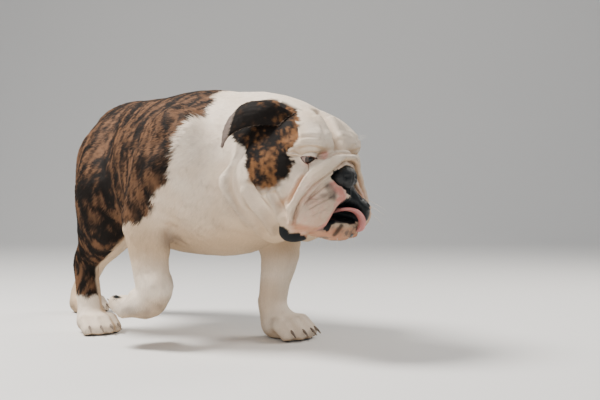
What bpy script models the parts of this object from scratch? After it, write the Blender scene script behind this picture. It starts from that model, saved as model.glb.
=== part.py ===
"""English bulldog, life size, stepping forward with its right forepaw lifted.

+X is forward, +Y is the dog's left and +Z is up, in metres. The body is a set of overlapping
rounded forms. Their blended surface is one skin, which thin cuts part into the named nodes.
"""

import math

import bmesh
import bpy
import numpy as np
from mathutils import Matrix, Vector

# Driving sizes
GAP = 0.0003
WITHERS = Vector((0.000, 0.0, 0.373))
CHEST_DEPTH = 0.245
CHEST_WIDTH = 0.262
RUMP = Vector((-0.212, 0.0, 0.296))
HEAD_CENTRE = Vector((0.140, 0.003, 0.265))
HEAD_YAW = math.radians(5)
HEAD_PITCH = math.radians(10)
FAR_ROLL_SHIFT = np.array((-0.0038, -0.0038, -0.0024))
FAR_LIP_SHIFT = np.array((0.0028, 0.0028, 0.0))
EYE_CENTRE = Vector((0.0655, 0.0430, 0.0155))
EYE_RADIUS = 0.0120
EYE_TURN = math.radians(29)
EYE_OPENING = Vector((0.012, 0.0132, 0.0046))
EAR_THICKNESS = 0.0034
EAR_SPREAD = 0.3
CLAW_LENGTH = 0.0135
CLAW_RADIUS = 0.0032
CLAW_STEPS = 4
SOLE_SINK = 0.0025
FAR = 1.0
FIELD_REACH = 0.045
BODY_VOXEL = 0.0052
HEAD_VOXEL = 0.0032
BODY_TRIANGLES = 5400
HEAD_TRIANGLES = 6000
JAW_TRIANGLES = 600
NOSE_TRIANGLES = 560

# Joint centres of the legs, from the trunk down, with the flesh's radius round each
FORELEGS = {
    "left": ((0.012, 0.104, 0.240, 0.052), (-0.002, 0.112, 0.178, 0.040), (0.016, 0.104, 0.128, 0.0312),
             (0.018, 0.091, 0.082, 0.0235), (0.020, 0.085, 0.048, 0.0225), (0.030, 0.085, 0.026, 0.0240)),
    "right": ((0.000, -0.102, 0.245, 0.050), (-0.024, -0.116, 0.192, 0.038), (-0.020, -0.119, 0.148, 0.0300),
              (-0.016, -0.118, 0.110, 0.0255), (-0.009, -0.118, 0.082, 0.0255), (-0.030, -0.118, 0.070, 0.0215)),
}
HINDLEGS = {
    "left": ((-0.212, 0.052, 0.264, 0.056), (-0.268, 0.060, 0.214, 0.048), (-0.316, 0.058, 0.168, 0.034),
             (-0.362, 0.049, 0.124, 0.0240), (-0.400, 0.043, 0.094, 0.0205), (-0.436, 0.037, 0.036, 0.0195)),
    "right": ((-0.192, -0.056, 0.264, 0.060), (-0.168, -0.080, 0.220, 0.056), (-0.172, -0.090, 0.180, 0.043),
              (-0.204, -0.088, 0.136, 0.0265), (-0.228, -0.087, 0.106, 0.0205), (-0.219, -0.086, 0.036, 0.0195)),
}
# Where each paw's sole is centred, the way that its toes point and the way that its back faces
PAWS = {
    "fore_left": (Vector((0.034, 0.086, 0.0)), Vector((1.0, 0.10, 0.0)), Vector((0, 0, 1))),
    "fore_right": (Vector((-0.030, -0.118, 0.088)), Vector((-0.97, 0.0, -0.20)), Vector((0.20, 0.0, -0.97))),
    "hind_left": (Vector((-0.432, 0.036, 0.0)), Vector((1.0, 0.04, 0.0)), Vector((0, 0, 1))),
    "hind_right": (Vector((-0.215, -0.086, 0.0)), Vector((1.0, -0.12, 0.0)), Vector((0, 0, 1))),
}
PAW_SCALE = {"fore_left": 1.0, "fore_right": 0.98, "hind_left": 0.88, "hind_right": 0.88}
TOES = ((-0.0255, -0.008), (-0.0088, 0.0), (0.0088, 0.0), (0.0255, -0.008))

COLOURS = {
    "white": (0.62, 0.55, 0.46), "brindle": (0.16, 0.10, 0.06), "leather": (0.012, 0.012, 0.013),
    "flesh": (0.55, 0.24, 0.20), "eye": (0.035, 0.020, 0.012), "claw": (0.05, 0.04, 0.035),
}


def array(vector):
    return np.array(vector, dtype=float)


def smooth_least(first, second, width):
    """The lesser of two distances, with the crease between them filled over this width."""
    share = np.clip(0.5 + 0.5 * (second - first) / width, 0, 1)
    return second * (1 - share) + first * share - width * share * (1 - share)


def smooth_most(first, second, width):
    return -smooth_least(-first, -second, width)


def sphere_points(bm, matrix, detail):
    return bmesh.ops.create_icosphere(bm, subdivisions=detail, radius=1, matrix=matrix)["verts"]


class Ball:
    """An ellipsoid, turned by a 3x3 matrix whose columns are its own axes."""

    def __init__(self, centre, radii, blend=0.01, turn=None):
        self.centre, self.radii, self.blend = array(centre), array(radii), blend
        self.turn = turn or Matrix.Identity(3)
        self.middle, self.reach = self.centre, self.radii.max()

    def distance(self, points):
        local = (points - self.centre) @ np.array(self.turn)
        scaled = np.linalg.norm(local / self.radii, axis=1)
        slope = np.linalg.norm(local / self.radii**2, axis=1)
        return scaled * (scaled - 1) / np.maximum(slope, 1e-9)

    def shell(self, bm, place):
        size = Matrix.Diagonal((*self.radii, 1))
        sphere_points(bm, place @ Matrix.Translation(self.centre) @ self.turn.to_4x4() @ size, 3)


class Rope:
    """A round form along a path of (x, y, z, radius) points, straight between them."""

    def __init__(self, points, blend=0.01):
        self.points, self.blend = [array(point) for point in points], blend
        joints = np.array(self.points)
        self.middle = (joints[:, :3].min(axis=0) + joints[:, :3].max(axis=0)) / 2
        self.reach = (np.linalg.norm(joints[:, :3] - self.middle, axis=1) + joints[:, 3]).max()

    def distance(self, points):
        nearest = None
        for start, end in zip(self.points, self.points[1:]):
            axis = end[:3] - start[:3]
            share = np.clip((points - start[:3]) @ axis / (axis @ axis), 0, 1)
            off = points - start[:3] - share[:, None] * axis
            here = np.linalg.norm(off, axis=1) - start[3] - share * (end[3] - start[3])
            nearest = here if nearest is None else np.minimum(nearest, here)
        return nearest

    def shell(self, bm, place):
        for start, end in zip(self.points, self.points[1:]):
            ends = bmesh.new()
            for point in (start, end):
                radius = Matrix.Diagonal((point[3], point[3], point[3], 1))
                sphere_points(ends, place @ Matrix.Translation(point[:3]) @ radius, 2)
            corners = [bm.verts.new(vert.co) for vert in ends.verts]
            ends.free()
            inner = bmesh.ops.convex_hull(bm, input=corners)
            unused = {item for item in inner["geom_interior"] + inner["geom_unused"] if item.is_valid}
            loose = [item for item in unused if isinstance(item, bmesh.types.BMVert)]
            bmesh.ops.delete(bm, geom=loose, context="VERTS")


def smooth_path(points, steps=4):
    """Points on a Catmull-Rom curve through the given ones."""
    given = [array(point) for point in points]
    given = [2 * given[0] - given[1], *given, 2 * given[-1] - given[-2]]
    found = []
    for before, start, end, after in zip(given, given[1:], given[2:], given[3:]):
        for step in range(steps):
            t = step / steps
            slope_in, slope_out = (end - before) / 2, (after - start) / 2
            found.append(
                (2 * t**3 - 3 * t**2 + 1) * start + (t**3 - 2 * t**2 + t) * slope_in
                + (3 * t**2 - 2 * t**3) * end + (t**3 - t**2) * slope_out
            )
    return [*found, given[-2]]


def turn_about_up(angle):
    return Matrix.Rotation(angle, 3, "Z")


def frame_from(origin, forward, up):
    """A matrix that places a piece drawn with +X forward and +Z up."""
    forward = forward.normalized()
    left = up.cross(forward).normalized()
    return Matrix.Translation(origin) @ Matrix((forward, left, forward.cross(left))).transposed().to_4x4()


HEAD_FRAME = (
    Matrix.Translation(HEAD_CENTRE)
    @ Matrix.Rotation(HEAD_YAW, 4, "Z")
    @ Matrix.Rotation(HEAD_PITCH, 4, "Y")
)


def trunk_forms():
    middle = WITHERS.z - CHEST_DEPTH / 2
    half = CHEST_WIDTH / 2
    forms = [
        Ball((-0.045, 0, middle), (0.160, half, CHEST_DEPTH / 2), 0.02),
        Ball((0.008, 0, middle - 0.015), (0.080, half - 0.012, 0.104), 0.02),
        Ball((WITHERS.x, 0, WITHERS.z - 0.056), (0.085, 0.078, 0.050), 0.02),
        Ball((-0.150, 0, 0.290), (0.100, 0.086, 0.078), 0.025),
        Ball(RUMP, (0.062, 0.074, 0.070), 0.025),
        Ball((-0.240, 0, 0.325), (0.034, 0.048, 0.028), 0.02),
    ]
    for side in (-1, 1):
        forms.append(Ball((0.014, side * 0.090, 0.264), (0.060, 0.046, 0.078), 0.02))
        forms.append(Ball((0.050, side * 0.052, 0.195), (0.040, 0.046, 0.046), 0.02))
        forms.append(Ball((-0.196, side * 0.050, 0.280), (0.054, 0.044, 0.056), 0.02))
    return forms


def neck_forms():
    crest = ((0.035, 0, 0.3110, 0.050), (0.080, 0.001, 0.3148, 0.0500), (0.112, 0.002, 0.3105, 0.0495),
             (0.142, 0.003, 0.3030, 0.0480), (0.165, 0.004, 0.2950, 0.0430))
    forms = [
        Rope(((0.010, 0, 0.282, 0.078), (0.062, 0, 0.283, 0.079), (0.112, 0.002, 0.281, 0.073)), 0.02),
        Rope(smooth_path(crest), 0.010),
        Rope(((0.040, 0, 0.215, 0.080), (0.100, 0.003, 0.222, 0.062), (0.138, 0.004, 0.224, 0.056)), 0.02),
    ]
    for side in (-1, 1):
        forms.append(Rope(((0.090, side * 0.026, 0.194, 0.026), (0.146, side * 0.034, 0.183, 0.025)), 0.02))
        fold = ((0.128, side * 0.082, 0.266, 0.006), (0.116, side * 0.087, 0.234, 0.009),
                (0.122, side * 0.076, 0.205, 0.010), (0.136, side * 0.056, 0.180, 0.010),
                (0.146, side * 0.032, 0.164, 0.009))
        forms.append(Rope(smooth_path(fold), 0.008))
    return forms


def leg_forms():
    forms = []
    for legs in (FORELEGS, HINDLEGS):
        forms += [Rope(smooth_path(joints, 3), 0.018) for joints in legs.values()]
    forms.append(Ball((-0.040, -0.118, 0.186), (0.026, 0.022, 0.024), 0.012))
    forms.append(Ball((-0.026, 0.112, 0.176), (0.026, 0.024, 0.024), 0.012))
    forms.append(Ball((0.002, -0.118, 0.092), (0.017, 0.019, 0.020), 0.010))
    forms.append(Ball((-0.001, 0.085, 0.052), (0.008, 0.008, 0.009), 0.010))
    forms.append(Ball((-0.236, -0.087, 0.108), (0.013, 0.012, 0.017), 0.010))
    forms.append(Ball((-0.410, 0.043, 0.098), (0.012, 0.011, 0.016), 0.010))
    return forms


def toe_points(offset, back):
    """The joints of one toe in its paw's frame, with the radius round each."""
    return ((0.006, offset * 0.60, 0.026, 0.0130), (0.030 + back, offset, 0.0265, 0.0128),
            (0.046 + back, offset * 1.06, 0.0135, 0.0118))


def paw_forms(name):
    """(place, forms) of one paw, drawn in its own frame with the sole just under z = 0."""
    place = frame_from(*PAWS[name]) @ Matrix.Scale(PAW_SCALE[name], 4)
    forms = [
        Ball((0.002, 0, 0.022), (0.027, 0.0285, 0.022), 0.012),
        Ball((0.008, 0, 0.010), (0.019, 0.021, 0.0125), 0.006),
    ]
    forms += [Rope(toe_points(*toe), 0.0045) for toe in TOES]
    return place, forms


def tail_forms():
    return [Rope(smooth_path(((-0.256, 0, 0.326, 0.022), (-0.281, 0.002, 0.318, 0.0175),
                              (-0.294, 0.006, 0.298, 0.0135), (-0.289, 0.011, 0.282, 0.0085))), 0.012)]


def head_forms():
    """The head in its own frame. Forms with y over 0 stand for the same form on each side."""
    eye_turn = turn_about_up(EYE_TURN)
    roll = ((0.0890, 0.000, 0.0200, 0.0098), (0.0922, 0.018, 0.0150, 0.0100), (0.0900, 0.037, 0.0036, 0.0102),
            (0.0842, 0.0535, -0.0134, 0.0102), (0.0775, 0.0655, -0.0355, 0.0096), (0.0725, 0.070, -0.0600, 0.0084))
    flew = ((0.0940, 0.018, -0.0360, 0.0180), (0.0920, 0.034, -0.0500, 0.0210), (0.0860, 0.048, -0.0590, 0.0200),
            (0.0700, 0.057, -0.0660, 0.0160))
    flap = ((0.0630, 0.0630, -0.0820, 0.0070), (0.0730, 0.0600, -0.0875, 0.0075), (0.0860, 0.0550, -0.0850, 0.0060))
    brow = ((0.0710, 0.014, 0.0345, 0.0120), (0.0715, 0.038, 0.0360, 0.0120), (0.0585, 0.060, 0.0275, 0.0115))
    lip = ((0.0985, 0, -0.0130, 0.0088), (0.1000, 0, -0.0280, 0.0082))
    lid = Ball(EYE_CENTRE + Vector((0.0004, 0.0004, -0.0008)), (0.0142, 0.0175, 0.0138), 0.010, eye_turn)
    return [
        Ball((-0.010, 0, 0.018), (0.082, 0.076, 0.062), 0.015),
        Ball((0.040, 0.030, 0.036), (0.034, 0.034, 0.032), 0.020),
        Ball((0.018, 0.049, -0.020), (0.058, 0.041, 0.056), 0.014),
        Ball((0.034, 0.042, -0.058), (0.046, 0.034, 0.036), 0.014),
        Ball((0.062, 0, -0.026), (0.044, 0.052, 0.042), 0.012),
        Ball((0.010, 0, -0.066), (0.062, 0.056, 0.040), 0.016),
        Rope(smooth_path(brow), 0.012),
        Rope(smooth_path(flew), 0.012),
        Rope(smooth_path(flap), 0.008),
        Rope(lip, 0.0070),
        lid,
        Rope(smooth_path(roll), 0.0080),
    ]


def head_grooves():
    """(form, blend) of each hollow of the head, in its own frame: the furrow and the mouth."""
    furrow = ((0.048, 0, 0.0835, 0.008), (0.070, 0, 0.0600, 0.0100), (0.0855, 0, 0.0360, 0.0070))
    return [
        (Rope(smooth_path(furrow)), 0.012),
        (Ball((0.1160, 0, -0.0640), (0.030, 0.034, 0.029)), 0.006),
    ]


def jaw_forms():
    arm = ((0.030, 0.040, -0.066, 0.0150), (0.074, 0.034, -0.071, 0.0140), (0.098, 0.018, -0.0745, 0.0120),
           (0.102, 0.000, -0.0750, 0.0120))
    lip = ((0.086, 0.033, -0.0690, 0.0055), (0.102, 0.020, -0.0680, 0.0060), (0.1105, 0.000, -0.0685, 0.0060))
    return [
        Ball((0.060, 0, -0.072), (0.050, 0.040, 0.017), 0.012),
        Ball((0.0985, 0, -0.0765), (0.0195, 0.028, 0.0110), 0.008),
        Rope(smooth_path(arm), 0.008),
        Rope(smooth_path(lip), 0.004),
    ]


def nose_forms():
    return [
        Ball((0.0990, 0, -0.0024), (0.0130, 0.0178, 0.0140), 0.006),
        Ball((0.1000, 0.0114, -0.0057), (0.0108, 0.0088, 0.0094), 0.004),
        Rope(((0.1030, 0, -0.0060, 0.0080), (0.1035, 0, -0.0120, 0.0074)), 0.005),
    ]


def nose_grooves():
    nostril = ((0.1136, 0.0058, -0.0010, 0.0028), (0.1108, 0.0100, -0.0020, 0.0031),
               (0.1081, 0.0154, -0.0050, 0.0019), (0.1058, 0.0208, -0.0090, 0.0013))
    return [
        (Rope(smooth_path(nostril)), 0.002),
        (Rope(((0.1126, 0, 0.003, 0.0011), (0.1122, 0, -0.020, 0.0011))), 0.002),
    ]


def ease(low, high, values):
    t = np.clip((values - low) / (high - low), 0, 1)
    return t * t * (3 - 2 * t)


def even_sided(head):
    """Takes points of the head back to an even muzzle: the far side's roll is drawn in, and its lip let out."""
    x, y, z = head.T
    roll = ease(0.074, 0.088, x) * ease(0.010, 0.036, y) * ease(-0.034, -0.016, z) * ease(0.022, 0.004, z)
    lip = ease(0.040, 0.070, x) * ease(0.010, 0.040, y) * ease(-0.086, -0.070, z) * ease(-0.030, -0.044, z)
    return head - roll[:, None] * FAR_ROLL_SHIFT - lip[:, None] * FAR_LIP_SHIFT


class Blend:
    """One smooth surface round many forms. Each group has a place, and may be the head's, with two like sides."""

    def __init__(self):
        self.groups, self.grooves = [], []

    def add(self, forms, place=None, mirrored=False):
        self.groups.append((forms, place or Matrix.Identity(4), mirrored))
        return self

    def carve(self, grooves, place, mirrored=True):
        self.grooves.append((grooves, place, mirrored))
        return self

    @staticmethod
    def local(points, place, mirrored):
        back = np.array(place.inverted())
        moved = points @ back[:3, :3].T + back[:3, 3]
        if mirrored:
            moved = even_sided(moved)
            moved[:, 1] = np.abs(moved[:, 1])
        return moved, place.median_scale

    @staticmethod
    def near(moved, form):
        return np.flatnonzero(((moved - form.middle) ** 2).sum(axis=1) < (form.reach + FIELD_REACH) ** 2)

    def distance(self, points):
        found = np.full(len(points), FAR)
        for forms, place, mirrored in self.groups:
            moved, scale = self.local(points, place, mirrored)
            for form in forms:
                near = self.near(moved, form)
                here = form.distance(moved[near]) * scale
                found[near] = smooth_least(found[near], here, form.blend)
        for grooves, place, mirrored in self.grooves:
            moved, scale = self.local(points, place, mirrored)
            for form, width in grooves:
                near = self.near(moved, form)
                here = form.distance(moved[near]) * scale
                found[near] = smooth_most(found[near], -here, width)
        return found

    def shells(self, bm):
        for forms, place, mirrored in self.groups:
            for form in forms:
                form.shell(bm, place)
                if mirrored:
                    form.shell(bm, place @ Matrix.Diagonal((1, -1, 1, 1)))
        bmesh.ops.recalc_face_normals(bm, faces=bm.faces)

    def settle(self, points, reach, rounds=5, step=2e-4):
        """Moves points along the field's slope onto its surface."""
        for _ in range(rounds):
            height = self.distance(points)
            slope = np.stack([
                (self.distance(points + step * axis) - height) / step for axis in np.eye(3)
            ], axis=1)
            size = np.maximum((slope**2).sum(axis=1), 0.05)
            move = slope * (height / size)[:, None]
            length = np.linalg.norm(move, axis=1)
            move *= np.minimum(1, reach / np.maximum(length, 1e-9))[:, None]
            points = points - move
        return points


def new_object(name, bm):
    mesh = bpy.data.meshes.new(name)
    bm.to_mesh(mesh)
    bm.free()
    obj = bpy.data.objects.new(name, mesh)
    bpy.context.scene.collection.objects.link(obj)
    return obj


def apply_modifiers(obj):
    graph = bpy.context.evaluated_depsgraph_get()
    mesh = bpy.data.meshes.new_from_object(obj.evaluated_get(graph))
    obj.modifiers.clear()
    obj.data = mesh


def volume_of(piece):
    faces = {face for vert in piece for face in vert.link_faces}
    return sum(face.calc_area() * face.normal.dot(face.calc_center_median()) for face in faces)


def keep_largest(obj):
    """Leaves only the closed surface that holds the most."""
    bm = bmesh.new()
    bm.from_mesh(obj.data)
    left, pieces = set(bm.verts), []
    while left:
        piece, edge = set(), [left.pop()]
        while edge:
            vert = edge.pop()
            piece.add(vert)
            for link in vert.link_edges:
                other = link.other_vert(vert)
                if other in left:
                    left.discard(other)
                    edge.append(other)
        pieces.append(piece)
    if not pieces:
        raise ValueError(f"nothing is left of {obj.name}")
    if len(pieces) > 1:
        pieces.sort(key=volume_of)
        for piece in pieces[:-1]:
            bmesh.ops.delete(bm, geom=list(piece), context="VERTS")
        bm.to_mesh(obj.data)
    bm.free()


def blended(name, blend, voxel, triangles):
    """The blend's surface as one closed mesh of about this many triangles."""
    bm = bmesh.new()
    blend.shells(bm)
    obj = new_object(name, bm)
    for reach in (voxel * 2, voxel):
        remesh = obj.modifiers.new("skin", "REMESH")
        remesh.mode = "VOXEL"
        remesh.voxel_size = voxel
        apply_modifiers(obj)
        count = len(obj.data.vertices)
        points = np.empty(count * 3)
        obj.data.vertices.foreach_get("co", points)
        points = blend.settle(points.reshape(-1, 3), reach)
        obj.data.vertices.foreach_set("co", points.reshape(-1))
        obj.data.update()
    keep_largest(obj)
    obj.data.calc_loop_triangles()
    fewer = obj.modifiers.new("fewer", "DECIMATE")
    fewer.ratio = min(1, triangles / len(obj.data.loop_triangles))
    fewer.use_collapse_triangulate = True
    apply_modifiers(obj)
    return obj


def hull(name, corners, shrink=False):
    """A convex cutter. The shrunk one leaves the gap between a piece and what it was cut from."""
    bm = bmesh.new()
    verts = [bm.verts.new(corner) for corner in corners]
    bmesh.ops.convex_hull(bm, input=verts)
    bmesh.ops.recalc_face_normals(bm, faces=bm.faces)
    bm.normal_update()
    if shrink:
        centre = sum((vert.co for vert in bm.verts), Vector()) / len(bm.verts)
        nearest = min(abs(face.normal.dot(face.verts[0].co - centre)) for face in bm.faces)
        bmesh.ops.scale(bm, verts=bm.verts, vec=Vector((1, 1, 1)) * (1 - GAP / nearest),
                        space=Matrix.Translation(-centre))
    obj = new_object(name, bm)
    obj.hide_render = True
    obj.display_type = "WIRE"
    return obj


def boolean(obj, cutters, operation, solver="EXACT"):
    """One Boolean for each cutter, applied. Only the largest piece is kept."""
    for cutter in cutters:
        cut = obj.modifiers.new("cut", "BOOLEAN")
        cut.operation = operation
        cut.solver = solver
        cut.object = cutter
        apply_modifiers(obj)
    keep_largest(obj)


def remove(objects):
    for obj in objects:
        bpy.data.objects.remove(obj)


def copy_of(obj, name):
    twin = obj.copy()
    twin.data = obj.data.copy()
    twin.name = name
    bpy.context.scene.collection.objects.link(twin)
    return twin


def part_off(whole, name, corners):
    """Cuts the piece inside the corners' hull off the whole, as a new object with a thin gap round it."""
    piece = copy_of(whole, name)
    outer, inner = hull("outer", corners), hull("inner", corners, shrink=True)
    boolean(piece, [inner], "INTERSECT")
    boolean(whole, [outer], "DIFFERENCE")
    remove([outer, inner])
    return piece


def grown(obj, by=GAP):
    """A copy that is larger by the gap all round, to cut its neighbour with."""
    twin = copy_of(obj, obj.name + "_grown")
    bm = bmesh.new()
    bm.from_mesh(twin.data)
    bm.normal_update()
    moves = [(vert, vert.normal * by * min(vert.calc_shell_factor(), 2)) for vert in bm.verts]
    for vert, move in moves:
        vert.co += move
    bm.to_mesh(twin.data)
    bm.free()
    return twin


def nest(outer, pieces):
    """Hollows the outer node for pieces that sit in it, with the gap between them."""
    cutters = [grown(piece) for piece in pieces]
    for cutter in cutters:
        cutter.hide_render = True
    boolean(outer, cutters, "DIFFERENCE", "MANIFOLD")
    remove(cutters)


def swept(name, path, widths, depths, across, place, sides=10, cup=0.0):
    """A closed tube along a path, wide along 'across' and deep the other way. A cup bends its section."""
    bm = bmesh.new()
    points = [Vector(point[:3]) for point in path]
    rings = []
    for index, point in enumerate(points):
        ahead = points[min(index + 1, len(points) - 1)] - points[max(index - 1, 0)]
        ahead.normalize()
        wide = (across[index] - ahead * across[index].dot(ahead)).normalized()
        deep = ahead.cross(wide)
        ring = []
        for side in range(sides):
            angle = 2 * math.pi * side / sides
            over, out = math.cos(angle), math.sin(angle)
            lift = depths[index] * out + cup * widths[index] * over**2
            ring.append(bm.verts.new(place @ (point + wide * widths[index] * over + deep * lift)))
        rings.append(ring)
    for ring, following in zip(rings, rings[1:]):
        for side in range(sides):
            after = (side + 1) % sides
            bm.faces.new((ring[side], ring[after], following[after], following[side]))
    for ring, spot in ((rings[0], 0), (rings[-1], -1)):
        tip = bm.verts.new(sum((vert.co for vert in ring), Vector()) / sides)
        for side in range(sides):
            bm.faces.new((ring[side], ring[(side + 1) % sides], tip))
    bmesh.ops.recalc_face_normals(bm, faces=bm.faces)
    if bm.calc_volume(signed=True) < 0:
        bmesh.ops.reverse_faces(bm, faces=bm.faces)
    return new_object(name, bm)


def taper(count, start, end, power=1.0):
    return [start + (end - start) * (index / (count - 1)) ** power for index in range(count)]


def sheet(name, first_edge, second_edge, bulge, outward, thickness, place, columns=6):
    """A thin closed sheet between two edge curves, bulging outward, split alike on both faces."""
    bm = bmesh.new()
    faces = []
    for face in (0.5, -0.5):
        grid = []
        for row, (first, second) in enumerate(zip(first_edge, second_edge)):
            share = row / (len(first_edge) - 1)
            line = []
            for column in range(columns + 1):
                across = column / columns
                rise = bulge * math.sin(math.pi * across) * math.sin(math.pi * min(share + 0.25, 1.0))
                spot = Vector(first[:3]).lerp(Vector(second[:3]), across)
                line.append(bm.verts.new(place @ (spot + outward * (rise + face * thickness))))
            grid.append(line)
        faces.append(grid)
    rows = len(first_edge) - 1
    top, bottom = faces
    for row in range(rows):
        for column in range(columns):
            for grid in faces:
                a, b = grid[row][column], grid[row][column + 1]
                c, d = grid[row + 1][column + 1], grid[row + 1][column]
                bm.faces.new((a, b, c))
                bm.faces.new((a, c, d))
    rim = [(0, column) for column in range(columns)] + [(row, columns) for row in range(rows)]
    rim += [(rows, column) for column in range(columns, 0, -1)] + [(row, 0) for row in range(rows, 0, -1)]
    for (row, column), (row_after, column_after) in zip(rim, rim[1:] + rim[:1]):
        bm.faces.new((top[row][column], top[row_after][column_after],
                      bottom[row_after][column_after], bottom[row][column]))
    bmesh.ops.recalc_face_normals(bm, faces=bm.faces)
    bmesh.ops.triangulate(bm, faces=bm.faces)
    return new_object(name, bm)


def make_ear(name, side, drop):
    """A small thin ear that folds back: out from the side of the skull, then back and down to its tip."""
    lower = Vector((0, EAR_SPREAD * drop, -drop))
    upper_edge = ((0.034, 0.040, 0.0690), (0.014, 0.056, 0.0780), (-0.010, 0.065, 0.0800), (-0.030, 0.078, 0.0700),
                  (-0.043, 0.091, 0.0420), (-0.041, 0.095, 0.0125))
    lower_edge = ((0.030, 0.058, 0.0520), (0.010, 0.076, 0.0500), (-0.006, 0.0865, 0.0450), (-0.020, 0.0930, 0.0370),
                  (-0.033, 0.0960, 0.0240), (-0.0385, 0.0955, 0.0115))
    edges = [smooth_path([Vector(spot) + lower for spot in edge], 3) for edge in (upper_edge, lower_edge)]
    place = HEAD_FRAME @ Matrix.Diagonal((1, side, 1, 1))
    return sheet(name, *edges, 0.007, Vector((-0.15, 0.80, 0.58)), EAR_THICKNESS, place)


def make_tongue():
    path = smooth_path(((0.0800, -0.002, -0.0560), (0.0980, 0.004, -0.0480), (0.1060, 0.013, -0.0470),
                        (0.1125, 0.021, -0.0505), (0.1160, 0.028, -0.0590), (0.1150, 0.0312, -0.0700),
                        (0.1085, 0.0312, -0.0765)), 3)
    count = len(path)
    widths = [0.0036 * (1 - (index / (count - 1)) ** 6) ** 0.5 + 0.0022 for index in range(count)]
    across = [Vector((0.90, -0.30, 0.30)).lerp(Vector((0.74, 0.67, 0.0)), index / count) for index in range(count)]
    return swept("tongue", path, widths, taper(count, 0.0028, 0.0020), across, HEAD_FRAME, sides=10, cup=-0.12)


def make_eye(name, side):
    bm = bmesh.new()
    centre = HEAD_FRAME @ Vector((EYE_CENTRE.x, side * EYE_CENTRE.y, EYE_CENTRE.z))
    bmesh.ops.create_icosphere(bm, subdivisions=3, radius=EYE_RADIUS, matrix=Matrix.Translation(centre))
    return new_object(name, bm)


def lid_cutter(name, side):
    """The almond gap between the lids."""
    bm = bmesh.new()
    turn = turn_about_up(EYE_TURN).to_4x4()
    ahead = EYE_CENTRE + turn.to_3x3() @ Vector((EYE_RADIUS * 1.05, 0, 0.0006))
    size = Matrix.Diagonal((*EYE_OPENING, 1))
    place = HEAD_FRAME @ Matrix.Diagonal((1, side, 1, 1)) @ Matrix.Translation(ahead) @ turn @ size
    bmesh.ops.create_icosphere(bm, subdivisions=3, radius=1, matrix=place)
    bmesh.ops.recalc_face_normals(bm, faces=bm.faces)
    obj = new_object(name, bm)
    obj.hide_render = True
    return obj


def make_claws(paw):
    """The four claws of a paw, each curved down from the end of its toe."""
    place, _ = paw_forms(paw)
    claws = []
    for number, (offset, back) in enumerate(TOES, 1):
        tip = Vector(toe_points(offset, back)[2][:3])
        path = []
        shares = [step / CLAW_STEPS for step in range(CLAW_STEPS + 1)]
        for share in shares:
            path.append(tip + Vector((0.0050 + CLAW_LENGTH * share, offset * 0.10 * share,
                                      0.0030 - 0.0085 * share**2)))
        radii = [CLAW_RADIUS * (1 - 0.80 * share**1.4) for share in shares]
        across = [Vector((0, 1, 0))] * len(path)
        claws.append(swept(f"claw_{paw}_{number}", path, [0.8 * r for r in radii], radii, across, place, sides=6))
    return claws


def floor_cutter():
    bm = bmesh.new()
    bmesh.ops.create_cube(bm, size=2, matrix=Matrix.Translation((0, 0, -1)))
    obj = new_object("floor_cutter", bm)
    obj.hide_render = True
    return obj


def head_corners():
    return [HEAD_FRAME @ Vector((x, y, z)) for x in (-0.045, 0.22) for y in (-0.2, 0.2) for z in (-0.150, 0.2)]


def neck_corners():
    return [Vector((s, l, z)) for s, z in ((0.000, 0.430), (0.068, 0.135), (0.35, 0.135), (0.35, 0.430))
            for l in (-0.2, 0.2)]


def foreleg_corners(side):
    """Under a plane that rises outward from the armpit over the upper arm, and clear of the thigh."""
    outline = ((0.020, 0.071, -0.118), (0.171, 0.246, -0.075), (0.25, 0.246, -0.075),
               (0.25, -0.05, -0.14), (0.020, -0.05, -0.14))
    return [Vector((s, side * l, z)) for l, z, rear in outline for s in (rear, 0.14)]


def hindleg_corners(side):
    """Under a plane from the fold of the flank, up to the rump and out over the thigh."""
    corners = []
    for s, l in ((-0.07, 0.003), (-0.07, 0.18), (-0.33, 0.003), (-0.33, 0.18)):
        corners.append(Vector((s, side * l, 0.0102 + 1.144 * l - 0.688 * s)))
    corners += [Vector((s, side * l, -0.05)) for s in (-0.07, -0.60) for l in (0.003, 0.22)]
    return corners


def box_corners(low, high):
    return [Vector((x, y, z)) for x in (low[0], high[0]) for y in (low[1], high[1]) for z in (low[2], high[2])]


PAW_BOXES = {
    "fore_left": ((-0.10, 0.02, -0.05), (0.15, 0.22, 0.044)),
    "fore_right": ((-0.16, -0.22, 0.00), (-0.030, -0.05, 0.112)),
    "hind_left": ((-0.60, 0.00, -0.05), (-0.33, 0.20, 0.042)),
    "hind_right": ((-0.33, -0.20, -0.05), (-0.12, 0.00, 0.042)),
}


def material(name, roughness=0.7):
    found = bpy.data.materials.get(name)
    if found:
        return found
    made = bpy.data.materials.new(name)
    made.use_nodes = True
    shader = made.node_tree.nodes["Principled BSDF"]
    shader.inputs["Base Color"].default_value = (*COLOURS[name], 1)
    shader.inputs["Roughness"].default_value = roughness
    made.diffuse_color = (*COLOURS[name], 1)
    return made


def finish(obj, colour, roughness=0.7):
    obj.data.materials.clear()
    obj.data.materials.append(material(colour, roughness))
    obj.data.shade_smooth()
    obj.data.set_sharp_from_angle(angle=math.radians(50))


def whole_body():
    body = Blend().add(trunk_forms()).add(neck_forms()).add(leg_forms()).add(tail_forms())
    for name in PAWS:
        place, forms = paw_forms(name)
        body.add(forms, Matrix.Translation((0, 0, -SOLE_SINK)) @ place)
    body.add(head_forms(), HEAD_FRAME, mirrored=True)
    return body.carve(head_grooves(), HEAD_FRAME)


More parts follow.
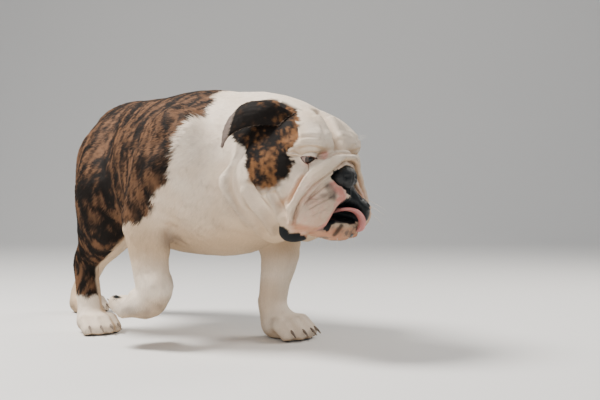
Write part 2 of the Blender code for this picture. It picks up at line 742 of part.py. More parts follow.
def main():
    for obj in list(bpy.data.objects):
        bpy.data.objects.remove(obj)
    surface = whole_body()
    body = blended("torso", surface, BODY_VOXEL, BODY_TRIANGLES)
    head_skin = Blend().add(trunk_forms()).add(neck_forms()).add(head_forms(), HEAD_FRAME, mirrored=True)
    head_skin.carve(head_grooves(), HEAD_FRAME)
    head = blended("head", head_skin, HEAD_VOXEL, HEAD_TRIANGLES)
    jaw = blended("jaw", Blend().add(jaw_forms(), HEAD_FRAME, mirrored=True), HEAD_VOXEL, JAW_TRIANGLES)
    nose_skin = Blend().add(nose_forms(), HEAD_FRAME, mirrored=True)
    nose_skin.carve(nose_grooves(), HEAD_FRAME)
    nose = blended("nose", nose_skin, HEAD_VOXEL / 2.4, NOSE_TRIANGLES)

    floor = floor_cutter()
    boolean(body, [floor], "DIFFERENCE")
    remove([floor])

    inner, outer = hull("inner", head_corners(), shrink=True), hull("outer", head_corners())
    boolean(head, [inner], "INTERSECT")
    boolean(body, [outer], "DIFFERENCE")
    remove([inner, outer])
    neck = part_off(body, "neck", neck_corners())
    tail = part_off(body, "tail", box_corners((-0.36, -0.04, 0.265), (-0.276, 0.04, 0.37)))
    legs, paws = {}, {}
    for side, sign in (("left", 1), ("right", -1)):
        legs["fore", side] = part_off(body, f"foreleg_{side}", foreleg_corners(sign))
        legs["hind", side] = part_off(body, f"hindleg_{side}", hindleg_corners(sign))
    for (end, side), leg in legs.items():
        paws[f"{end}_{side}"] = part_off(leg, f"paw_{end}_{side}", box_corners(*PAW_BOXES[f"{end}_{side}"]))

    ears = [make_ear("ear_left", 1, 0.012), make_ear("ear_right", -1, 0.0)]
    for ear in ears:
        nest(ear, [head, neck])
    eyes = [make_eye("eye_left", 1), make_eye("eye_right", -1)]
    lids = [lid_cutter("lids_left", 1), lid_cutter("lids_right", -1)]
    boolean(head, lids, "DIFFERENCE")
    remove(lids)
    tongue = make_tongue()
    nest(jaw, [tongue])
    nest(head, [jaw, nose, tongue, *eyes])
    claws = []
    for name, paw in paws.items():
        made = make_claws(name)
        nest(paw, made)
        claws += made

    for obj in (head, neck, legs["fore", "left"], *paws.values(), jaw):
        finish(obj, "white")
    for obj in (body, tail, legs["fore", "right"], legs["hind", "left"], legs["hind", "right"], *ears):
        finish(obj, "brindle")
    finish(nose, "leather", 0.35)
    finish(tongue, "flesh", 0.4)
    for eye in eyes:
        finish(eye, "eye", 0.05)
    for claw in claws:
        finish(claw, "claw", 0.4)
    centre_on_floor()


def centre_on_floor():
    """Moves the whole dog so that the middle of its box's foot is the origin."""
    objects = list(bpy.context.scene.collection.objects)
    spots = np.concatenate([[vert.co for vert in obj.data.vertices] for obj in objects])
    low, high = spots.min(axis=0), spots.max(axis=0)
    move = Matrix.Translation((-(low[0] + high[0]) / 2, -(low[1] + high[1]) / 2, -low[2]))
    for obj in objects:
        obj.data.transform(move)


if __name__ == "__main__":
    main()
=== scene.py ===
import math

import bmesh
import bpy
import numpy as np
from bpy.props import FloatProperty, FloatVectorProperty, IntProperty, PointerProperty
from mathutils import Matrix, Vector
from mathutils.bvhtree import BVHTree


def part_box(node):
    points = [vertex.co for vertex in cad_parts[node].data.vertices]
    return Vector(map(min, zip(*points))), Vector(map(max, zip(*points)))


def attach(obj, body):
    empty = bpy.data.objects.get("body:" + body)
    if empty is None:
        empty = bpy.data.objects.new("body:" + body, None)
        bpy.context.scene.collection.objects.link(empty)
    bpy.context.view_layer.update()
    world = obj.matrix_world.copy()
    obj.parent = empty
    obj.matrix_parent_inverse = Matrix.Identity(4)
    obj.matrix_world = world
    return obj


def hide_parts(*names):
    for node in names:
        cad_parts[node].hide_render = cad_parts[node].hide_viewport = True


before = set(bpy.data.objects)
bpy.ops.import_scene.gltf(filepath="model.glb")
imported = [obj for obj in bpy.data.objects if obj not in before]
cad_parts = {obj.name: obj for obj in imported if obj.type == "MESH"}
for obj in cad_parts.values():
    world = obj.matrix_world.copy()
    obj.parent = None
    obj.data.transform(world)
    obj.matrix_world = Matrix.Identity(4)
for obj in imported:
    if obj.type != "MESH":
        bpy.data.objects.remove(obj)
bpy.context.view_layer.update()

bl_info = {
    "name": "Life-size english bulldog",
    "version": (1, 0, 0),
    "blender": (4, 5, 0),
    "location": "3D View > Sidebar > Bulldog",
    "description": "Dresses the solids of a standing bulldog with skin, coat, eyes, nose, tongue and claws",
    "category": "Object",
}

# The head's own axes: x forward, y to the dog's left, z up
EYE_CENTRE = Vector((0.0655, 0.0430, 0.0155))
EYE_RADIUS = 0.0124
HEAD_TURN = (
    Matrix.Translation((0.140, 0.003, 0.265))
    @ Matrix.Rotation(math.radians(5), 4, "Z")
    @ Matrix.Rotation(math.radians(10), 4, "Y")
)
EYE_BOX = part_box("eye_left")
SHIFT = (EYE_BOX[0] + EYE_BOX[1]) / 2 - HEAD_TURN @ EYE_CENTRE
HEAD = Matrix.Translation(SHIFT) @ HEAD_TURN
HEAD_BACK = HEAD.inverted()
# Places on the body are measured from where the trunk's centre lies when the frame is shifted this far
DRIFT = np.array(SHIFT) - (0.0994, 0.0003, 0.0)

FLESH = [
    name
    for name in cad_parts
    if name.split("_")[0] in ("torso", "neck", "head", "jaw", "tail", "foreleg", "hindleg", "paw", "eye")
]
CLAWS = [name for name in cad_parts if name.startswith("claw")]
SEED = 20
FAR = 1e3


class DogSizes(bpy.types.PropertyGroup):
    skin_grain: FloatProperty(name="Skin grain", description="Face size of the skin on the body",
                              default=0.0032, min=0.002, max=0.01, subtype="DISTANCE", unit="LENGTH")
    coat_depth: FloatProperty(name="Coat depth", description="How far the skin lies under the coat's surface",
                              default=0.0010, min=0.0, max=0.01, subtype="DISTANCE", unit="LENGTH")
    body_hair: FloatProperty(name="Body hair", description="Length of a tuft on the body",
                             default=0.0080, min=0.003, max=0.03, subtype="DISTANCE", unit="LENGTH")
    face_hair: FloatProperty(name="Face hair", description="Length of a tuft on the face and feet",
                             default=0.0030, min=0.002, max=0.02, subtype="DISTANCE", unit="LENGTH")
    hair_lift: FloatProperty(name="Hair lift", description="How far a tuft's tip stands off the skin",
                             default=0.0005, min=0.0, max=0.01, subtype="DISTANCE", unit="LENGTH")
    coverage: FloatProperty(name="Coverage", description="How many tufts lie over each point of the skin",
                            default=1.4, min=0.2, max=4.0)
    whisker: FloatProperty(name="Whisker", description="Thickness of a whisker at its root",
                           default=0.0005, min=0.0002, max=0.002, subtype="DISTANCE", unit="LENGTH")


def colour(name, words, value):
    return FloatVectorProperty(name=name, description=words, default=value, size=3, subtype="COLOR",
                               min=0.0, max=1.0)


class DogColours(bpy.types.PropertyGroup):
    # Cream is the white coat in full light. Sand is partly the coat's own warmer tint low down, partly painted shade
    # under the body and painted warm light on the inner legs.
    cream: colour("Cream", "White coat in the light", (0.80, 0.69, 0.57))
    sand: colour("Sand", "White coat low on the body", (0.55, 0.40, 0.26))
    # Tan is the chin's and cheeks' own colour. In the face folds it is partly their stain, partly painted shade in the
    # creases.
    tan: colour("Tan", "Chin, cheeks and stained folds", (0.46, 0.25, 0.13))
    fawn: colour("Fawn", "Light streaks of the brindle", (0.150, 0.076, 0.040))
    orange: colour("Orange", "Light mottling of the ear patch", (0.200, 0.091, 0.036))
    bark: colour("Bark", "Dark streaks of the brindle", (0.008, 0.006, 0.005))
    pink: colour("Pink", "Bare skin of the muzzle and eye corner", (0.62, 0.27, 0.22))
    # Slate also darkens the lifted paw's wrist, partly dirt and partly painted shade.
    slate: colour("Slate", "Grey skin beside the nose and in the ears", (0.150, 0.115, 0.100))
    soot: colour("Soot", "Lips and the front of the muzzle", (0.006, 0.008, 0.009))
    nose: colour("Nose", "Nose leather", (0.007, 0.009, 0.010))
    tongue: colour("Tongue", "Tongue", (0.56, 0.20, 0.18))
    iris: colour("Iris", "Iris of the eye", (0.030, 0.015, 0.009))
    claw: colour("Claw", "Claws", (0.10, 0.075, 0.055))


class DogStage(bpy.types.PropertyGroup):
    floor: colour("Floor", "Floor and backdrop", (0.78, 0.77, 0.75))
    key: FloatProperty(name="Key light", description="Power of the main light", default=78.0, min=0.0,
                       unit="POWER")
    fill: FloatProperty(name="Fill light", description="Power of the light beside the camera", default=9.0,
                        min=0.0, unit="POWER")
    rim: FloatProperty(name="Rim light", description="Power of the light behind", default=16.0, min=0.0,
                       unit="POWER")
    sky: FloatProperty(name="Sky", description="Strength of the light from all around", default=0.38,
                       min=0.0)


def sizes():
    return bpy.context.scene.dog_sizes


def colours():
    return bpy.context.scene.dog_colours


# Shader maths


class Value:
    """A socket that can be used in sums."""

    def __init__(self, maker, socket):
        self.maker = maker
        self.socket = socket

    def maths(self, operation, *others, clamp=False):
        node = self.maker.node("ShaderNodeMath", {"operation": operation, "use_clamp": clamp},
                               dict(enumerate(others)))
        return Value(self.maker, node.outputs[0])

    def __add__(self, other):
        return self.maths("ADD", self, other)

    def __sub__(self, other):
        return self.maths("SUBTRACT", self, other)

    def __rsub__(self, other):
        return self.maths("SUBTRACT", other, self)

    def __mul__(self, other):
        return self.maths("MULTIPLY", self, other)

    __radd__ = __add__
    __rmul__ = __mul__


class Finish:
    """One material and the nodes that are put into it."""

    def __init__(self, name, **uniform):
        self.material = bpy.data.materials.new(name)
        self.material.use_nodes = True
        self.tree = self.material.node_tree
        self.shader = next(node for node in self.tree.nodes if node.type == "BSDF_PRINCIPLED")
        for socket, value in uniform.items():
            self.shader.inputs[socket.replace("_", " ")].default_value = value

    def node(self, kind, settings=None, sockets=None):
        made = self.tree.nodes.new(kind)
        for name, value in (settings or {}).items():
            if name == "stops":
                self.fill_ramp(made.color_ramp, value)
            else:
                setattr(made, name, value)
        for key, value in (sockets or {}).items():
            self.plug(made.inputs[key], value)
        return made

    def plug(self, socket, value):
        if isinstance(value, Value):
            self.tree.links.new(value.socket, socket)
        elif isinstance(value, bpy.types.NodeSocket):
            self.tree.links.new(value, socket)
        elif socket.type == "RGBA" and len(value) == 3:
            socket.default_value = (*value, 1)
        else:
            socket.default_value = value

    @staticmethod
    def fill_ramp(ramp, stops):
        while len(ramp.elements) < len(stops):
            ramp.elements.new(0.5)
        for element, (place, value) in zip(ramp.elements, stops):
            element.position = place
            element.color = (*value, 1) if hasattr(value, "__len__") else (value, value, value, 1)

    def attribute(self, name):
        return Value(self, self.node("ShaderNodeAttribute", {"attribute_name": name}).outputs["Fac"])

    def place(self):
        node = self.node("ShaderNodeAttribute", {"attribute_name": "place"})
        return node.outputs["Vector"]

    def position(self):
        return self.node("ShaderNodeNewGeometry").outputs["Position"]

    def noise(self, where, scale, detail=3.0, stretch=(1, 1, 1)):
        moved = self.node("ShaderNodeVectorMath", {"operation": "MULTIPLY"}, {0: where, 1: stretch})
        node = self.node("ShaderNodeTexNoise", {"noise_dimensions": "3D"},
                         {"Vector": moved.outputs[0], "Scale": scale, "Detail": detail})
        return Value(self, node.outputs["Fac"])

    def cells(self, where, scale, feature="F1"):
        node = self.node("ShaderNodeTexVoronoi", {"feature": feature}, {"Vector": where, "Scale": scale})
        return Value(self, node.outputs["Distance"])

    def ramp(self, factor, low, high):
        node = self.node("ShaderNodeMapRange", {"interpolation_type": "SMOOTHSTEP"},
                         {"Value": factor, "From Min": low, "From Max": high})
        return Value(self, node.outputs["Result"])

    def mix(self, factor, first, second, blend="MIX"):
        node = self.node("ShaderNodeMix", {"data_type": "RGBA", "blend_type": blend},
                         {0: factor, 6: first, 7: second})
        return node.outputs[2]

    def bump(self, height, depth, strength=1.0, under=None):
        node = self.node("ShaderNodeBump", None, {"Height": height, "Distance": depth, "Strength": strength})
        if under is not None:
            self.plug(node.inputs["Normal"], under)
        return node.outputs["Normal"]

    def give(self, **sockets):
        for name, value in sockets.items():
            self.plug(self.shader.inputs[name.replace("_", " ")], value)
        return self.material


# Points, paths and noise


def ease(low, high, values):
    t = np.clip((values - low) / (high - low), 0, 1)
    return t * t * (3 - 2 * t)


FAR_ROLL_SHIFT = np.array((-0.0038, -0.0038, -0.0024))
FAR_LIP_SHIFT = np.array((0.0028, 0.0028, 0.0))


def far_side_shift(head):
    """How far the far side's roll is drawn in, and its lip let out, at points of the head."""
    x, y, z = head[..., 0], head[..., 1], head[..., 2]
    roll = ease(0.074, 0.088, x) * ease(0.010, 0.036, y) * ease(-0.034, -0.016, z) * ease(0.022, 0.004, z)
    lip = ease(0.040, 0.070, x) * ease(0.010, 0.040, y) * ease(-0.086, -0.070, z) * ease(-0.030, -0.044, z)
    return roll[..., None] * FAR_ROLL_SHIFT + lip[..., None] * FAR_LIP_SHIFT


def to_head(points):
    """Points in the axes of the head, taken back to an even muzzle."""
    turn = np.array(HEAD_BACK)
    head = points @ turn[:3, :3].T + turn[:3, 3]
    return head - far_side_shift(head)


def from_head(points):
    """Points of the even head, back in the frame."""
    points = np.asarray(points, float)
    head = points
    for _ in range(5):
        head = points + far_side_shift(head)
    turn = np.array(HEAD)
    return head @ turn[:3, :3].T + turn[:3, 3]


def unit(vectors):
    return vectors / np.maximum(np.linalg.norm(vectors, axis=-1, keepdims=True), 1e-12)


def through(points, steps=6, closed=False):
    """A smooth path through the points."""
    points = np.asarray(points, float)
    if closed:
        points = np.vstack([points[-1:], points, points[:2]])
    else:
        points = np.vstack([2 * points[:1] - points[1:2], points, 2 * points[-1:] - points[-2:-1]])
    t = (np.arange(steps) / steps)[:, None]
    path = []
    for a, b, c, d in zip(points[:-3], points[1:-2], points[2:-1], points[3:]):
        path.append(0.5 * (2 * b + (c - a) * t + (2 * a - 5 * b + 4 * c - d) * t**2
                           + (3 * b - a - 3 * c + d) * t**3))
    path = np.vstack(path)
    return path if closed else np.vstack([path, points[-2:-1]])


def reach_of(points, path):
    """How far each point is from a path, and where along it, from 0 to 1."""
    best = np.full(len(points), FAR)
    along = np.zeros(len(points))
    legs = np.linalg.norm(np.diff(path, axis=0), axis=1)
    done = 0.0
    for start, end, leg in zip(path[:-1], path[1:], legs):
        way = end - start
        t = np.clip((points - start) @ way / max(way @ way, 1e-12), 0, 1)
        gap = np.linalg.norm(points - start - t[:, None] * way, axis=1)
        closer = gap < best
        best[closer] = gap[closer]
        along[closer] = (done + t[closer] * leg) / legs.sum()
        done += leg
    return best, along


def within(points, line, reach):
    """Which points lie in a path's box, grown by the reach."""
    return np.flatnonzero(np.all((points > line.min(0) - reach) & (points < line.max(0) + reach), axis=1))


def signed_gap(points, outline, reach=FAR):
    """Distance of flat points from a closed outline, below zero inside it; FAR past the reach."""
    ring = np.vstack([outline, outline[:1]])
    out = np.full(len(points), FAR)
    near = within(points, ring, reach)
    points = points[near]
    gap, _ = reach_of(points, ring)
    inside = np.zeros(len(points), bool)
    for (x0, y0), (x1, y1) in zip(ring[:-1], ring[1:]):
        crosses = (y0 > points[:, 1]) != (y1 > points[:, 1])
        slope = (x1 - x0) / (y1 - y0 if abs(y1 - y0) > 1e-12 else 1e-12)
        inside ^= crosses & (points[:, 0] < x0 + slope * (points[:, 1] - y0))
    out[near] = np.where(inside, -gap, gap)
    return out


LATTICE = np.random.default_rng(SEED).random((32, 32, 32))


def cloud(points, size, shift=0.0):
    """Soft noise from 0 to 1, whose lumps are as large as size."""
    p = points / np.asarray(size) + shift * 3.17 + 100.0
    cell = np.floor(p).astype(int)
    t = p - cell
    t = t * t * (3 - 2 * t)
    total = np.zeros(len(points))
    for corner in np.ndindex(2, 2, 2):
        weight = np.prod(np.where(corner, t, 1 - t), axis=1)
        at = (cell + corner) % 32
        total += weight * LATTICE[at[:, 0], at[:, 1], at[:, 2]]
    return total


# Markings

WHITE_EDGE_Z = (0.150, 0.176, 0.182, 0.197, 0.2195, 0.241, 0.2685, 0.301, 0.317, 0.330, 0.352, 0.368, 0.380)
WHITE_EDGE_X = (0.062, 0.077, 0.095, 0.108, 0.123, 0.143, 0.150, 0.149, 0.149, 0.1515, 0.145, 0.125, 0.110)
PATCH = ((0.0224, 0.080), (0.034, 0.072), (0.0573, 0.0549), (0.0622, 0.0422), (0.0607, 0.0299), (0.0573, 0.0176),
         (0.0626, 0.0027), (0.0620, -0.0103), (0.0532, -0.0265), (0.0399, -0.0345), (0.0229, -0.034),
         (0.0114, -0.0247), (0.0059, -0.0096), (-0.0029, 0.0057), (-0.0136, 0.0161), (-0.0326, 0.0200),
         (-0.045, 0.030), (-0.045, 0.070), (-0.0164, 0.085))
MUZZLE_BLACK = ((-0.0265, 0.0040), (-0.0265, -0.0030), (-0.0240, -0.0065), (-0.0175, -0.0112), (-0.0100, -0.0173),
                (-0.0037, -0.0235), (0.0030, -0.0272), (-0.0079, -0.0321), (-0.0156, -0.0348), (-0.019, -0.045),
                (-0.0264, -0.060), (-0.032, -0.068), (-0.034, -0.074), (0.038, -0.074), (0.046, -0.050),
                (0.048, -0.034), (0.044, -0.0200), (0.036, -0.0085), (0.0270, -0.0010), (0.0150, 0.0080),
                (0.000, 0.010), (-0.015, 0.008))
PINK_BAND = ((0.1040, -0.0235, -0.0140), (0.1070, -0.0160, -0.0225), (0.1095, -0.0120, -0.0290),
             (0.1110, -0.0215, -0.0380), (0.1110, -0.0270, -0.0470), (0.1085, -0.0345, -0.0600),
             (0.1020, -0.0410, -0.0720))
EYE_CORNER = ((0.0750, -0.0376, 0.0158), (0.0796, -0.0372, 0.0166), (0.0828, -0.0366, 0.0168))
BLACK_CHIN_Y = (-0.034, -0.028, -0.0246, -0.018, 0.035)
BLACK_CHIN_Z = (-0.078, -0.0743, -0.0675, -0.0641, -0.065)
FLAP = ((0.0610, -0.0680, -0.0815), (0.0640, -0.0660, -0.0885), (0.0730, -0.0635, -0.0935),
        (0.0845, -0.0600, -0.0915))
ORANGE_FOLD = ((0.0600, -0.0730, -0.0450), (0.0694, -0.0724, -0.0381), (0.0750, -0.0700, -0.0280),
               (0.0790, -0.0600, -0.0080))


def near_path(head, path, radius, soft=0.5):
    """1 on the path, falling to 0 past its radius."""
    line = through(path, 4)
    reach = radius * (1 + soft)
    out = np.zeros(len(head))
    near = within(head, line, reach)
    gap, _ = reach_of(head[near], line)
    out[near] = 1 - ease(radius * (1 - soft), reach, gap)
    return out


def markings(place, normal):
    """The masks of the coat's and skin's colours at points of the surface."""
    head = to_head(place)
    place = place - DRIFT
    x, y, z = place.T
    hx, hy, hz = head.T
    rough = cloud(place, 0.012, 1) - 0.5
    fine = cloud(place, 0.0035, 2) - 0.5

    edge = np.interp(z, WHITE_EDGE_Z, WHITE_EDGE_X) + np.where(y > 0, 0.012 * np.sin(z * 60), 0)
    saddle = ease(-0.003, 0.003, edge - x + 0.010 * rough + 0.008 * fine)
    low_edge = np.where(x > 0.015, 0.180, 0.060 + 0.020 * (y > 0))
    saddle *= ease(-0.004, 0.004, z - low_edge + 0.012 * rough + 0.008 * fine)
    inward = np.where(y > 0, -normal[:, 1], normal[:, 1])
    inner_leg = ease(0.15, 0.45, inward + 0.3 * rough) * ease(-0.02, -0.05, x) * ease(0.235, 0.205, z)
    belly = ease(0.30, 0.60, -normal[:, 2] + 0.4 * rough) * ease(0.072, 0.060, np.abs(y)) * ease(0.21, 0.18, z)
    saddle *= (1 - inner_leg) * (1 - belly)

    flat = np.column_stack([hx, hz])
    blur = 0.0012 + 0.0050 * ease(-0.004, -0.026, hz)
    patch_gap = signed_gap(flat, np.array(PATCH), 0.02) + 0.006 * rough + 0.005 * fine
    patch = 1 - ease(-1, 1, patch_gap / blur)
    patch *= ease(0.020, 0.030, -hy) + ease(0.030, 0.040, hy) * ease(0.030, 0.040, hz) * ease(0.042, 0.032, hx)
    brindle = np.maximum(saddle, patch)

    sway = cloud(place, 0.07, 3) - 0.5
    leaned = np.column_stack([x + 0.10 * (z - 0.25) + 0.030 * sway, y, z])
    streak = 0.30 * cloud(leaned, (0.0085, 0.040, 0.042), 4) + 0.38 * cloud(leaned, (0.0036, 0.016, 0.020), 5)
    streak += 0.32 * cloud(leaned, (0.0018, 0.006, 0.008), 6)
    dusky = 0.08 * (cloud(place, 0.08, 13) - 0.5) - 0.05 * ease(0.20, 0.14, z)
    body_streak = ease(0.43, 0.66, streak + dusky)
    combed = np.column_stack([hx + 0.5 * hz, hy, hz - 0.5 * hx])
    mottle = 0.34 * cloud(combed, (0.011, 0.011, 0.016), 7) + 0.36 * cloud(combed, (0.004, 0.004, 0.008), 8)
    mottle += 0.30 * cloud(combed, (0.0018, 0.0018, 0.004), 9)
    warm = near_path(head, ((0.054, -0.045, 0.060), (0.058, -0.058, 0.045), (0.055, -0.068, 0.030)), 0.014, 0.7)
    warm += near_path(head, ((0.050, -0.080, -0.022), (0.030, -0.086, -0.030), (0.016, -0.088, -0.018)), 0.016, 0.8)
    warm += 0.5 * near_path(head, ((0.038, -0.078, 0.004), (0.020, -0.084, 0.002)), 0.012, 0.8)
    warm -= 0.6 * near_path(head, ((0.052, -0.075, 0.018), (0.054, -0.075, -0.004)), 0.009, 0.7)
    patch_streak = ease(0.44, 0.74, mottle + 0.21 * np.clip(warm, -1, 1) - 0.075)
    streak = np.where(patch > 0.3, patch_streak, body_streak)

    front = ease(0.080, 0.088, hx)
    rim = signed_gap(np.column_stack([hy, hz]), np.array(MUZZLE_BLACK), 0.02) + 0.004 * fine
    black = (1 - ease(-0.0005, 0.0010, rim)) * front
    above_chin = ease(-0.001, 0.001, hz - np.interp(hy, BLACK_CHIN_Y, BLACK_CHIN_Z) + 0.006 * rough)
    mouth = np.linalg.norm((head - (0.113, 0, -0.062)) / (0.031, 0.036, 0.031), axis=1)
    inside = 1 - ease(0.98, 1.02, mouth)
    flap = near_path(head, FLAP, 0.0118, 0.12) * ease(-0.0725, -0.0745, hz + 0.25 * (hx - 0.06) + 0.004 * fine)
    chin = 0.85 * near_path(head, ((0.1136, -0.0105, -0.0655), (0.1139, -0.0175, -0.0720), (0.1117, -0.0214, -0.0785)),
                            0.0030, 0.6)
    chin = np.maximum(chin, near_path(head, ((0.1155, 0.0100, -0.0800), (0.1130, 0.0160, -0.0830)), 0.0046, 0.3))
    chin = np.maximum(chin, near_path(head, ((0.1120, 0.0260, -0.0720), (0.1040, 0.0330, -0.0760)), 0.0052, 0.3))
    black = np.maximum.reduce([black * above_chin, inside * above_chin, flap, chin])
    pads = ease(0.0035, 0.0015, z)
    knuckle = np.linalg.norm(place - (0.041, -0.146, 0.076), axis=1)
    pads = np.maximum(pads, 1 - ease(0.006, 0.008, knuckle))
    black = np.maximum(black, pads)

    pink = near_path(head, PINK_BAND, 0.0076, 0.45) * (0.90 + 0.9 * (rough + fine))
    side = np.abs(hy)
    mirrored = np.column_stack([hx, -side, hz])
    corner = near_path(mirrored, ((0.0805, -0.0250, 0.0215), (0.0830, -0.0300, 0.0185)), 0.0055, 0.7)
    black = np.maximum(black, 0.85 * near_path(mirrored, EYE_CORNER, 0.0017, 0.5))
    lid = near_path(mirrored, ((0.071, -0.060, 0.010), (0.078, -0.050, 0.007), (0.084, -0.036, 0.014)), 0.004, 0.8)
    flew = near_path(mirrored, ((0.088, -0.052, -0.028), (0.098, -0.050, -0.050), (0.088, -0.056, -0.066)), 0.020, 0.7)
    pink = np.clip(np.maximum.reduce([pink, 0.8 * corner, 0.35 * lid, 0.24 * flew + 0.4 * flew * fine]), 0, 1)
    grey = near_path(head, ((0.0990, -0.0300, -0.0165), (0.1040, -0.0290, -0.0220), (0.1072, -0.0310, -0.0280)),
                     0.0058, 0.6)
    grey = np.maximum(grey * (0.7 + rough), 0.55 * near_path(head, ((0.104, -0.034, -0.026), (0.1, -0.04, -0.028)),
                                                             0.004, 0.8))
    # Slate at the lifted paw's wrist is partly dirt, partly painted shade. The armpit behind the lifted foreleg is
    # darkened with slate too.
    wrist = near_path(place, ((0.060, -0.140, 0.058), (0.090, -0.128, 0.054), (0.105, -0.115, 0.066)), 0.013, 0.8)
    armpit = near_path(place, ((0.105, -0.108, 0.160), (0.098, -0.084, 0.152)), 0.012, 0.9)
    grey = np.maximum.reduce([grey, 0.45 * wrist * (0.8 + 1.5 * rough), 0.5 * armpit])
    tan = near_path(mirrored, ORANGE_FOLD, 0.0050, 0.8) * 0.75
    # Tan in the roll's creases and, fainter, in the brow wrinkles, the wrinkle under the eye and the furrow: partly the
    # folds' own stain, partly painted shade in the creases.
    for path, width, _, _ in FACE_FOLDS[:2]:
        tan = np.maximum(tan, 0.34 * near_path(mirrored, path, 1.3 * width, 0.7))
    for path, width, _, _ in FACE_FOLDS[2:8]:
        tan = np.maximum(tan, 0.16 * near_path(mirrored, path, 1.3 * width, 0.8))
    combed_chin = np.column_stack([hx, 0.92 * hy + 0.39 * hz, 0.92 * hz - 0.39 * hy])
    lines = 0.6 * cloud(combed_chin, (0.020, 0.013, 0.0034), 15) + 0.4 * cloud(combed_chin, (0.02, 0.005, 0.0015), 16)
    chin_tan = ease(-0.064, -0.072, hz) * ease(0.072, 0.086, hx) * (0.74 + 1.7 * (lines - 0.5))
    dusky_chin = ease(-0.064, -0.069, hz) * ease(0.088, 0.100, hx) * ease(0.47, 0.35, lines)
    grey = np.maximum(grey, 0.80 * dusky_chin)
    pink = np.maximum(pink, 0.30 * chin_tan * front)
    tan = np.maximum.reduce([tan, chin_tan, 0.45 * near_path(mirrored, ((0.094, -0.026, 0.012), (0.099, -0.012, 0.012)),
                                                              0.007, 0.7)])
    # Sand mask: stronger low on the body, near the floor, in loose patches, on faces turned down and inside the legs.
    # Low on the body it is partly the coat's warmer tint, partly painted shade. On faces turned down it is painted
    # shade. Inside the legs it is painted warm light.
    low = ease(0.26, 0.15, z + 0.03 * sway) * ease(0.09, 0.15, z)
    low = np.maximum(low, 0.30 * ease(0.03, 0.0, z))
    low = np.maximum(low, 0.85 * ease(0.0, 0.8, -normal[:, 2]))
    low = np.maximum(low, 0.55 * ease(0.0, 0.5, cloud(place, 0.045, 14) - 0.5))
    low = np.maximum(low, 0.9 * inner_leg)
    wet = np.maximum(black * front, 0.5 * flap)
    return {"low": low, "tan": np.clip(tan, 0, 1), "pink": pink, "grey": np.clip(grey, 0, 1), "streak": streak,
            "orange": ease(0.2, 0.6, patch), "brindle": brindle, "black": black, "wet": wet}


# Meshes


def new_object(name, mesh):
    obj = bpy.data.objects.new(name, mesh)
    bpy.context.scene.collection.objects.link(obj)
    return obj


def get(name):
    if name not in bpy.data.objects:
        raise RuntimeError(f"{name} has to be made first")
    return bpy.data.objects[name]


def coords(mesh, values=None):
    """Reads a mesh's points as an array, or writes them."""
    if values is None:
        out = np.empty(len(mesh.vertices) * 3)
        mesh.vertices.foreach_get("co", out)
        return out.reshape(-1, 3)
    mesh.vertices.foreach_set("co", np.asarray(values, float).ravel())
    mesh.update()
    return values


def normals(mesh):
    out = np.empty(len(mesh.vertices) * 3)
    mesh.vertex_normals.foreach_get("vector", out)
    return out.reshape(-1, 3)


def put_values(mesh, name, values, kind="FLOAT"):
    layer = mesh.attributes.get(name) or mesh.attributes.new(name, kind, "POINT")
    layer.data.foreach_set("vector" if kind == "FLOAT_VECTOR" else "value", np.asarray(values, float).ravel())


def dress(obj, material, slot, *nodes, smooth=True):
    """Gives a finished piece its material and its place on the frame."""
    obj.data.materials.clear()
    obj.data.materials.append(material)
    if smooth:
        obj.data.shade_smooth()
    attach(obj, "root")
    if nodes:
        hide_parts(*nodes)
    return obj


def joined_solids(names, swell):
    """Copies of the named solids in one mesh, each swollen a little."""
    whole = bmesh.new()
    for name in names:
        part = bmesh.new()
        part.from_mesh(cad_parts[name].data)
        bmesh.ops.remove_doubles(part, verts=part.verts, dist=1e-5)
        part.normal_update()
        places = [vert.co + vert.normal * swell for vert in part.verts]
        for vert, at in zip(part.verts, places):
            vert.co = at
        mesh = bpy.data.meshes.new("part")
        part.to_mesh(mesh)
        part.free()
        whole.from_mesh(mesh)
        bpy.data.meshes.remove(mesh)
    return whole


def remeshed(name, whole, grain):
    """One closed mesh of even faces over all the solids."""
    mesh = bpy.data.meshes.new(name)
    whole.to_mesh(mesh)
    obj = new_object(name, mesh)
    modifier = obj.modifiers.new("even", "REMESH")
    modifier.mode = "VOXEL"
    modifier.voxel_size = grain
    seen = obj.evaluated_get(bpy.context.evaluated_depsgraph_get())
    even = bpy.data.meshes.new_from_object(seen)
    obj.modifiers.clear()
    obj.data = even
    bpy.data.meshes.remove(mesh)
    even.name = name
    if not len(even.polygons):
        raise RuntimeError(f"{name} came out empty")
    return obj


def smoothed(mesh, rounds, share=None, keep_size=True):
    """Evens the mesh's points out; share says how much each may move."""
    edges = np.empty(len(mesh.edges) * 2, int)
    mesh.edges.foreach_get("vertices", edges)
    start, end = edges.reshape(-1, 2).T
    points = coords(mesh)
    count = len(points)
    near = np.bincount(start, minlength=count) + np.bincount(end, minlength=count)
    near = np.maximum(near, 1)[:, None]
    share = np.ones((count, 1)) if share is None else share[:, None]
    for index in range(rounds):
        middle = np.zeros_like(points)
        for axis in range(3):
            middle[:, axis] = np.bincount(start, points[end, axis], count) + np.bincount(end, points[start, axis], count)
        weight = -0.53 if keep_size and index % 2 else 0.5
        points = points + weight * share * (middle / near - points)
    coords(mesh, points)


def unwrapped(obj):
    bpy.context.view_layer.objects.active = obj
    obj.select_set(True)
    bpy.ops.object.mode_set(mode="EDIT")
    bpy.ops.mesh.select_all(action="SELECT")
    bpy.ops.uv.smart_project(angle_limit=math.radians(66), island_margin=0.001)
    bpy.ops.object.mode_set(mode="OBJECT")
    obj.select_set(False)
    obj.data.uv_layers[0].name = "OFBake"


